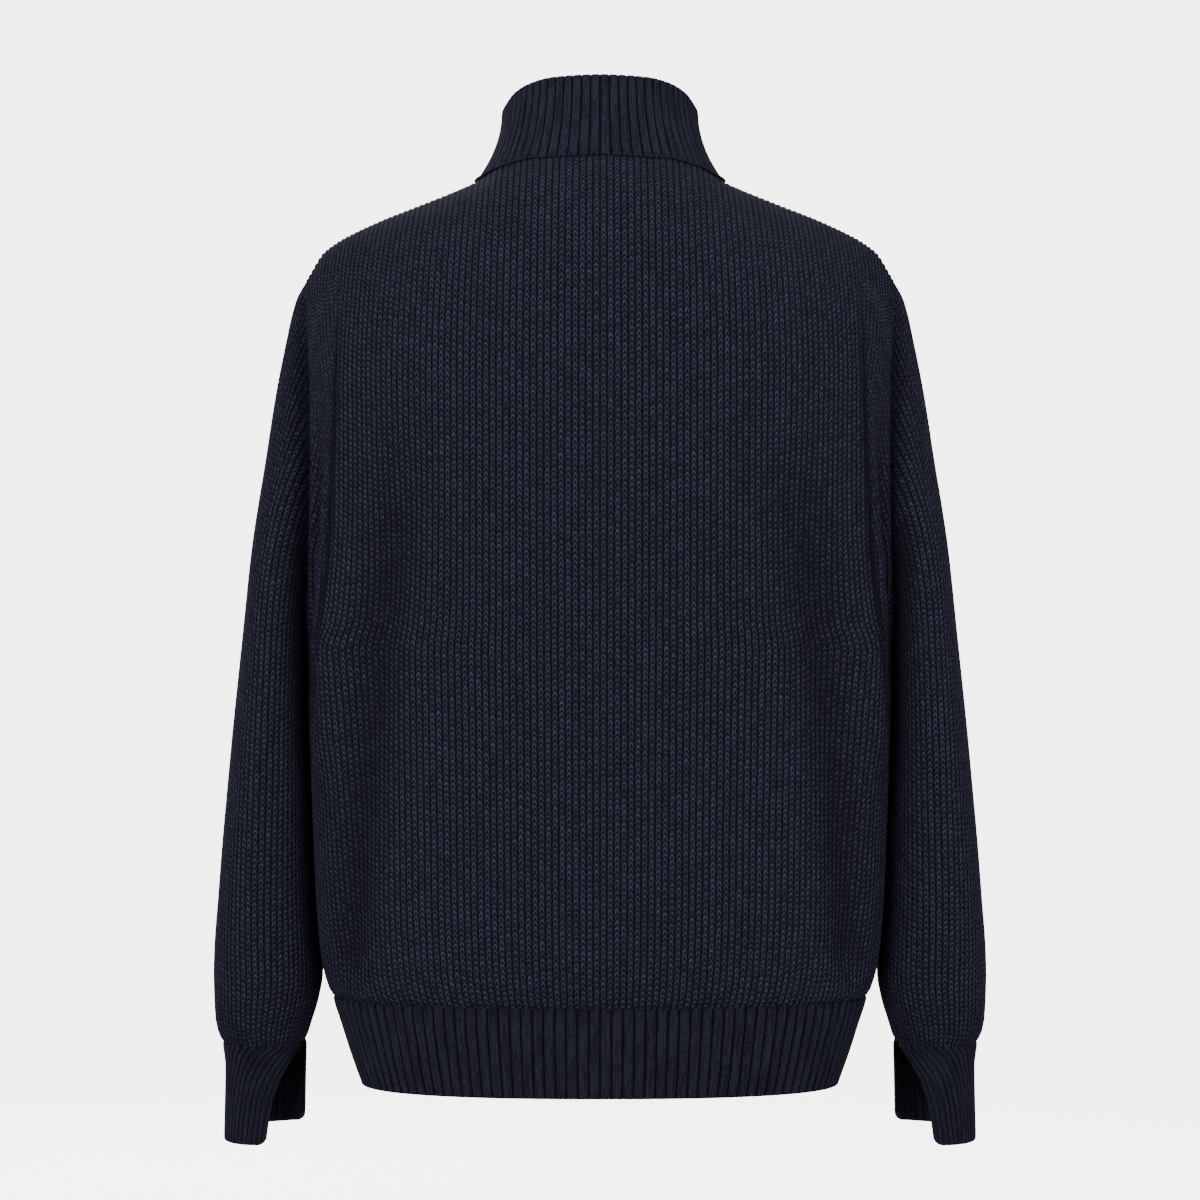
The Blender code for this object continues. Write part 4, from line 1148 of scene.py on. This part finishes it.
# ---------------------------------------------------------------- pieces
def body_panel(context, name, node, sign, folds, mirrored=False):
    """Knits the whole back (sign 1) or one front (sign -1) in place of its node."""
    size = context.scene.jacket_knit
    whole = sign > 0
    s0 = 0.0 if whole else ZIP_EDGE
    count = size.wales if whole else size.wales - 2
    place, height = repeat_columns(count, WALE)
    if whole:
        place, height = whole_width(place, height)
    levels, share = panel_levels()
    grid, slant, painted_shade = panel(sign, place / count, levels, share, s0, folds)
    wales = slant + (place + 60.0 if whole else place)
    if mirrored:
        grid = mirror_grid(grid)
        wales = count - wales[:, ::-1]
        height = height[::-1]
        slant = slant[:, ::-1]
        painted_shade = painted_shade[:, ::-1]
    relief = height * size.relief * (1 - SLANT_FLATTENS * np.clip(abs(slant), 0, 1))
    relief = relief - seam_dip(grid, KNIT_DIP, head=False)
    look = knit_look(name, size.colour)
    # painted shade next to the panel's seams at its foot and head
    painted_shade = np.maximum(painted_shade, seam_dip(grid, SEAM_PAINTED_SHADE))
    stitches = stitch_map(wales, courses(grid, size.course))
    declare(knitted(name, grid, CLOTH, relief, stitches, look, painted_shade), node)


class JACKET_OT_back(bpy.types.Operator):
    """Knits the back in one piece from the hem seam over the shoulders"""

    bl_idname = "jacket.back"
    bl_label = "Back"

    def execute(self, context):
        body_panel(context, "knit_back", "back", 1.0, FOLDS_BACK)
        return {"FINISHED"}


class JACKET_OT_fronts(bpy.types.Operator):
    """Knits the two fronts, which meet at the zip"""

    bl_idname = "jacket.fronts"
    bl_label = "Fronts"

    def execute(self, context):
        for side in ("left", "right"):
            node = f"front_{side}"
            body_panel(context, f"knit_{node}", node, -1.0, FOLDS_FRONT, side == "right")
        return {"FINISHED"}


class JACKET_OT_sleeves(bpy.types.Operator):
    """Knits the sleeves from the armhole line down to the cuff seam"""

    bl_idname = "jacket.sleeves"
    bl_label = "Sleeves"

    def execute(self, context):
        size = context.scene.jacket_knit
        place, height = repeat_columns(size.sleeve_wales, WALE)
        edge = np.array(SLEEVE_EDGE)
        t = fine_rows([*edge, *SLEEVE_NEAR], SLEEVE_EVEN, 1 - edge[::-1])
        grid, painted_shade = [part[::-1] for part in sleeve_grid(place / size.sleeve_wales, t)]
        for side in ("left", "right"):
            if side == "right":
                grid = mirror_grid(grid)
                height = height[::-1]
                painted_shade = painted_shade[:, ::-1]
            name = f"knit_sleeve_{side}"
            look = knit_look(name, size.colour)
            relief = height * size.relief - seam_dip(grid, SLEEVE_DIP, head=False)
            stitches = stitch_map(place, courses(grid, size.course, 0.0))
            piece = knitted(name, grid, CLOTH, relief, stitches, look, painted_shade, closed=True)
            declare(piece, f"sleeve_{side}")
        return {"FINISHED"}


def ribbed(context, node, grid, place, height, wall, light, foot=False, head=False):
    """Knits a ribbed piece in place of its node; light is the share of the yarn's colour that it
    shows, partly the rib yarn's own tone and partly painted shade, lower on the hem and cuffs than
    on the collar.
    """
    size = context.scene.jacket_rib
    name = f"rib_{node}"
    look = rib_look(name, [part * light for part in size.colour])
    relief = height * size.relief + RIB_RISE - seam_dip(grid, RIB_DIP, foot, head)
    stitches = stitch_map(place, courses(grid, size.course))
    # painted shade next to its seams
    painted_shade = seam_dip(grid, SEAM_PAINTED_SHADE, foot, head)
    piece = knitted(name, grid, wall, relief, stitches, look, painted_shade, round_to=wall * 0.62)
    declare(piece, node)


class JACKET_OT_collar(bpy.types.Operator):
    """Knits the standing rib collar on the neck seam"""

    bl_idname = "jacket.collar"
    bl_label = "Collar"

    def execute(self, context):
        place, height = repeat_columns(COLLAR_RIBS, RIB)
        rows = fine_rows(*COLLAR_FINE)
        rings = collar_rings(place / COLLAR_RIBS, rows)
        grid = np.array([both_sides(ring) for ring in rings])
        place, height = whole_width(place, height)
        grid[:, :, 2] += COLLAR_SCALLOP * (height + 0.5) * step((rows[:, None] - 0.9) / 0.1)
        grid[0, :, 2] -= COLLAR_DROP
        ribbed(context, "collar", grid, place + 60.0, height, COLLAR_WALL, 0.56, foot=True)
        return {"FINISHED"}


class JACKET_OT_hem_band(bpy.types.Operator):
    """Knits the ribbed hem band"""

    bl_idname = "jacket.hem_band"
    bl_label = "Hem band"

    def execute(self, context):
        place, height = repeat_columns(HEM_RIBS, RIB)
        grid = hem_grid(place / HEM_RIBS, fine_rows(*HEM_FINE))
        place, height = whole_width(place, height)
        ribbed(context, "hem_band", grid, place + 64.0, height, RIB_WALL, 0.46, head=True)
        return {"FINISHED"}


class JACKET_OT_cuffs(bpy.types.Operator):
    """Knits the split ribbed cuffs"""

    bl_idname = "jacket.cuffs"
    bl_label = "Cuffs"

    def execute(self, context):
        place, height = repeat_columns(CUFF_RIBS, RIB)
        grid = cuff_grid(place / CUFF_RIBS, fine_rows(*CUFF_FINE))
        ribbed(context, "cuff_left", grid, place, height, RIB_WALL, 0.47, foot=True)
        grid = mirror_grid(grid)
        ribbed(context, "cuff_right", grid, place, height[::-1], RIB_WALL, 0.47, foot=True)
        return {"FINISHED"}


class JACKET_OT_zip_tapes(bpy.types.Operator):
    """Weaves the zip's tapes behind the edges of the fronts"""

    bl_idname = "jacket.zip_tapes"
    bl_label = "Zip tapes"

    def execute(self, context):
        size = context.scene.jacket_zip
        look = tape_look("woven_tape", size.tape_colour)
        for sign, side in ((1, "left"), (-1, "right")):
            xs = tuple(sign * x for x in np.linspace(TAPE_INNER, TAPE_OUTER, 6))
            grid = zip_grid(xs, TAPE_BACK, 0.0, TAPE_END, 120)
            flat = np.zeros(grid.shape[:2])
            uv = stitch_map(np.arange(6.0), courses(grid, 2.0))
            piece = knitted(f"woven_tape_{side}", grid, TAPE_WALL, flat, uv, look, flat)
            declare(piece, f"zip_tape_{side}")
        return {"FINISHED"}


class JACKET_OT_zip_teeth(bpy.types.Operator):
    """Sets the closed metal teeth between the tapes"""

    bl_idname = "jacket.zip_teeth"
    bl_label = "Zip teeth"

    def execute(self, context):
        size = context.scene.jacket_zip
        line = zip_grid((0.8, 2.4), TAPE_BACK + TAPE_WALL / 2, *TEETH_ENDS, 900)[:, 0]
        line[:, 0] = 0.0
        length = np.linalg.norm(np.diff(line, axis=0), axis=1).sum()
        share = centres(int(length / (size.tooth_pitch / 2)))
        bm = bmesh.new()
        for k, (point, up) in enumerate(zip(along(line, share), heading(line, share))):
            side = 1.0 if k % 2 else -1.0
            tooth = bmesh.ops.create_cube(bm, size=1.0)["verts"]
            tilt = math.atan2(-up[1], up[2])
            seat = Matrix.Translation(Vector(point) * MM) @ Matrix.Rotation(tilt, 4, "X")
            for v in tooth:
                nose = v.co.x * side < 0
                depth, height = TOOTH_NOSE if nose else TOOTH_ROOT
                v.co.x = side * (TOOTH_MIDDLE + (-1 if nose else 1) * TOOTH_HALF) * MM
                v.co.y *= depth * MM
                v.co.z *= height * MM
            bmesh.ops.transform(bm, matrix=seat, verts=tooth)
        bmesh.ops.bevel(
            bm, geom=bm.edges[:], offset=TOOTH_BEVEL * MM, segments=1, affect="EDGES",
            profile=0.5, material=-1)
        look = metal_look("satin_teeth", size.metal_colour, 0.38)
        piece = finished("zip_teeth", bm, look, smooth_faces=False)
        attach(piece, "jacket")
        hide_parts("zip_chain")
        return {"FINISHED"}


class JACKET_OT_zip_fittings(bpy.types.Operator):
    """Gives the slider, box, stops and pull tab of the frame their satin metal"""

    bl_idname = "jacket.zip_fittings"
    bl_label = "Zip fittings"

    def execute(self, context):
        size = context.scene.jacket_zip
        look = metal_look("satin_metal", size.metal_colour, 0.32)
        for name in ("zip_slider", "zip_box", "zip_stop_left", "zip_stop_right", "zip_pull_tab"):
            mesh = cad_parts[name].data
            if not mesh.materials:
                mesh.materials.append(look)
            for k in range(len(mesh.materials)):
                mesh.materials[k] = look
        return {"FINISHED"}


class JACKET_OT_seams(bpy.types.Operator):
    """Adds the row of linking stitches round the collar's foot"""

    bl_idname = "jacket.seams"
    bl_label = "Linking stitches"

    def execute(self, context):
        size = context.scene.jacket_rib
        foot = both_sides(collar_foot(np.linspace(0, 1, 400)))
        share = centres(4 * COLLAR_RIBS)
        places = along(foot, share)
        ahead = unit(heading(foot, share))
        away = places - np.array([0.0, NECK_Y, 0.0])
        away[:, 2] = 0.0
        away = unit(unit(away) + np.array([0.0, 0.0, BEAD_RISE]))
        bm = bmesh.new()
        for point, forward, out in zip(places, ahead, away):
            bead = bmesh.ops.create_icosphere(bm, subdivisions=1, radius=1.0)["verts"]
            up = Vector(forward).cross(Vector(out)).normalized()
            turn = Matrix((Vector(forward), Vector(out), up)).transposed().to_4x4()
            scale = Matrix.Diagonal((*(half * MM for half in BEAD), 1.0))
            seat = Matrix.Translation(Vector(point + out * BEAD_OUT) * MM)
            bmesh.ops.transform(bm, matrix=seat @ turn @ scale, verts=bead)
        piece = finished("collar_linking", bm, yarn_look("linking_yarn", size.colour))
        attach(piece, "jacket")
        return {"FINISHED"}


class JACKET_OT_studio(bpy.types.Operator):
    """Sets up the pale floor and backdrop, the soft lights and the camera behind the jacket"""

    bl_idname = "jacket.studio"
    bl_label = "Studio"

    def execute(self, context):
        size = context.scene.jacket_studio
        bm = bmesh.new()
        bmesh.ops.create_grid(bm, x_segments=1, y_segments=60, size=0.5)
        width, floor, bend, wall = 24.0, 9.0, 2.5, 6.0
        curve = bend * math.pi / 2
        for v in bm.verts:
            t = (v.co.y + 0.5) * (wall + curve + floor)
            if t < floor:
                y, z = floor / 2 - t, 0.0
            elif t < floor + curve:
                a = (t - floor) / bend
                y, z = -floor / 2 - bend * math.sin(a), bend * (1 - math.cos(a))
            else:
                y, z = -floor / 2 - bend, bend + t - floor - curve
            v.co = (v.co.x * width, y, z + size.floor_z)
        bmesh.ops.recalc_face_normals(bm, faces=bm.faces)
        glow = (*size.backdrop, 1.0)
        look = Look(
            "backdrop", Roughness=0.9, Specular_IOR_Level=0.1,
            Emission_Color=glow, Emission_Strength=size.glow,
        )
        look.colour(size.backdrop, 0.995, 1.005, look.noise(look.place(), 3.0, 1.0))
        backdrop = finished("studio_backdrop", bm, look.material)
        backdrop.visible_diffuse = False
        backdrop.visible_glossy = False

        world = bpy.data.worlds.new("soft_room")
        world.use_nodes = True
        ground = world.node_tree.nodes["Background"].inputs
        ground["Color"].default_value = (1.0, 1.0, 1.0, 1.0)
        ground["Strength"].default_value = size.ambient
        context.scene.world = world

        lights = (
            ("main_softbox", (1.1, 3.2, 1.3), size.key, 1.8),
            ("fill_softbox", (-1.7, 3.0, 0.2), size.fill, 2.2),
            ("front_softbox", (0.8, -3.2, 0.9), 1.5 * size.fill, 2.2),
        )
        for name, place, power, width in lights:
            data = bpy.data.lights.new(name, "AREA")
            data.energy = power
            data.size = width
            lamp = bpy.data.objects.new(name, data)
            lamp.location = place
            aim = Vector((0.0, 0.0, -0.3)) - Vector(place)
            lamp.rotation_euler = aim.to_track_quat("-Z", "Y").to_euler()
            context.scene.collection.objects.link(lamp)

        camera = bpy.data.cameras.new("camera")
        camera.sensor_width = 36.0
        camera.lens = 125.0
        camera.clip_end = 60.0
        seen_from = bpy.data.objects.new("camera", camera)
        seen_from.location = (0.0, 3.0, -0.302)
        seen_from.rotation_euler = (math.pi / 2, 0.0, math.pi)
        context.scene.collection.objects.link(seen_from)
        context.scene.camera = seen_from
        return {"FINISHED"}


PIECES = (
    JACKET_OT_back,
    JACKET_OT_fronts,
    JACKET_OT_sleeves,
    JACKET_OT_collar,
    JACKET_OT_hem_band,
    JACKET_OT_cuffs,
    JACKET_OT_seams,
    JACKET_OT_zip_tapes,
    JACKET_OT_zip_teeth,
    JACKET_OT_zip_fittings,
    JACKET_OT_studio,
)
SIZES = (
    ("jacket_knit", KnitSizes),
    ("jacket_rib", RibSizes),
    ("jacket_zip", ZipSizes),
    ("jacket_studio", StudioSizes),
)


class JACKET_PT_sidebar(bpy.types.Panel):
    """Sizes, colours and pieces of the jacket"""

    bl_label = "Knit bomber jacket"
    bl_idname = "JACKET_PT_sidebar"
    bl_space_type = "VIEW_3D"
    bl_region_type = "UI"
    bl_category = "Jacket"

    def draw(self, context):
        for name, group in SIZES:
            box = self.layout.box()
            box.label(text=group.__doc__)
            for key in group.__annotations__:
                box.prop(getattr(context.scene, name), key)
        for piece in PIECES:
            self.layout.operator(piece.bl_idname)


CLASSES = (*(group for _, group in SIZES), *PIECES, JACKET_PT_sidebar)


def register():
    for made in CLASSES:
        bpy.utils.register_class(made)
    for name, group in SIZES:
        setattr(bpy.types.Scene, name, PointerProperty(type=group))


def unregister():
    for name, _ in SIZES:
        delattr(bpy.types.Scene, name)
    for made in reversed(CLASSES):
        bpy.utils.unregister_class(made)


def main():
    register()
    for piece in PIECES:
        group, name = piece.bl_idname.split(".")
        getattr(getattr(bpy.ops, group), name)()


if __name__ == "__main__":
    main()
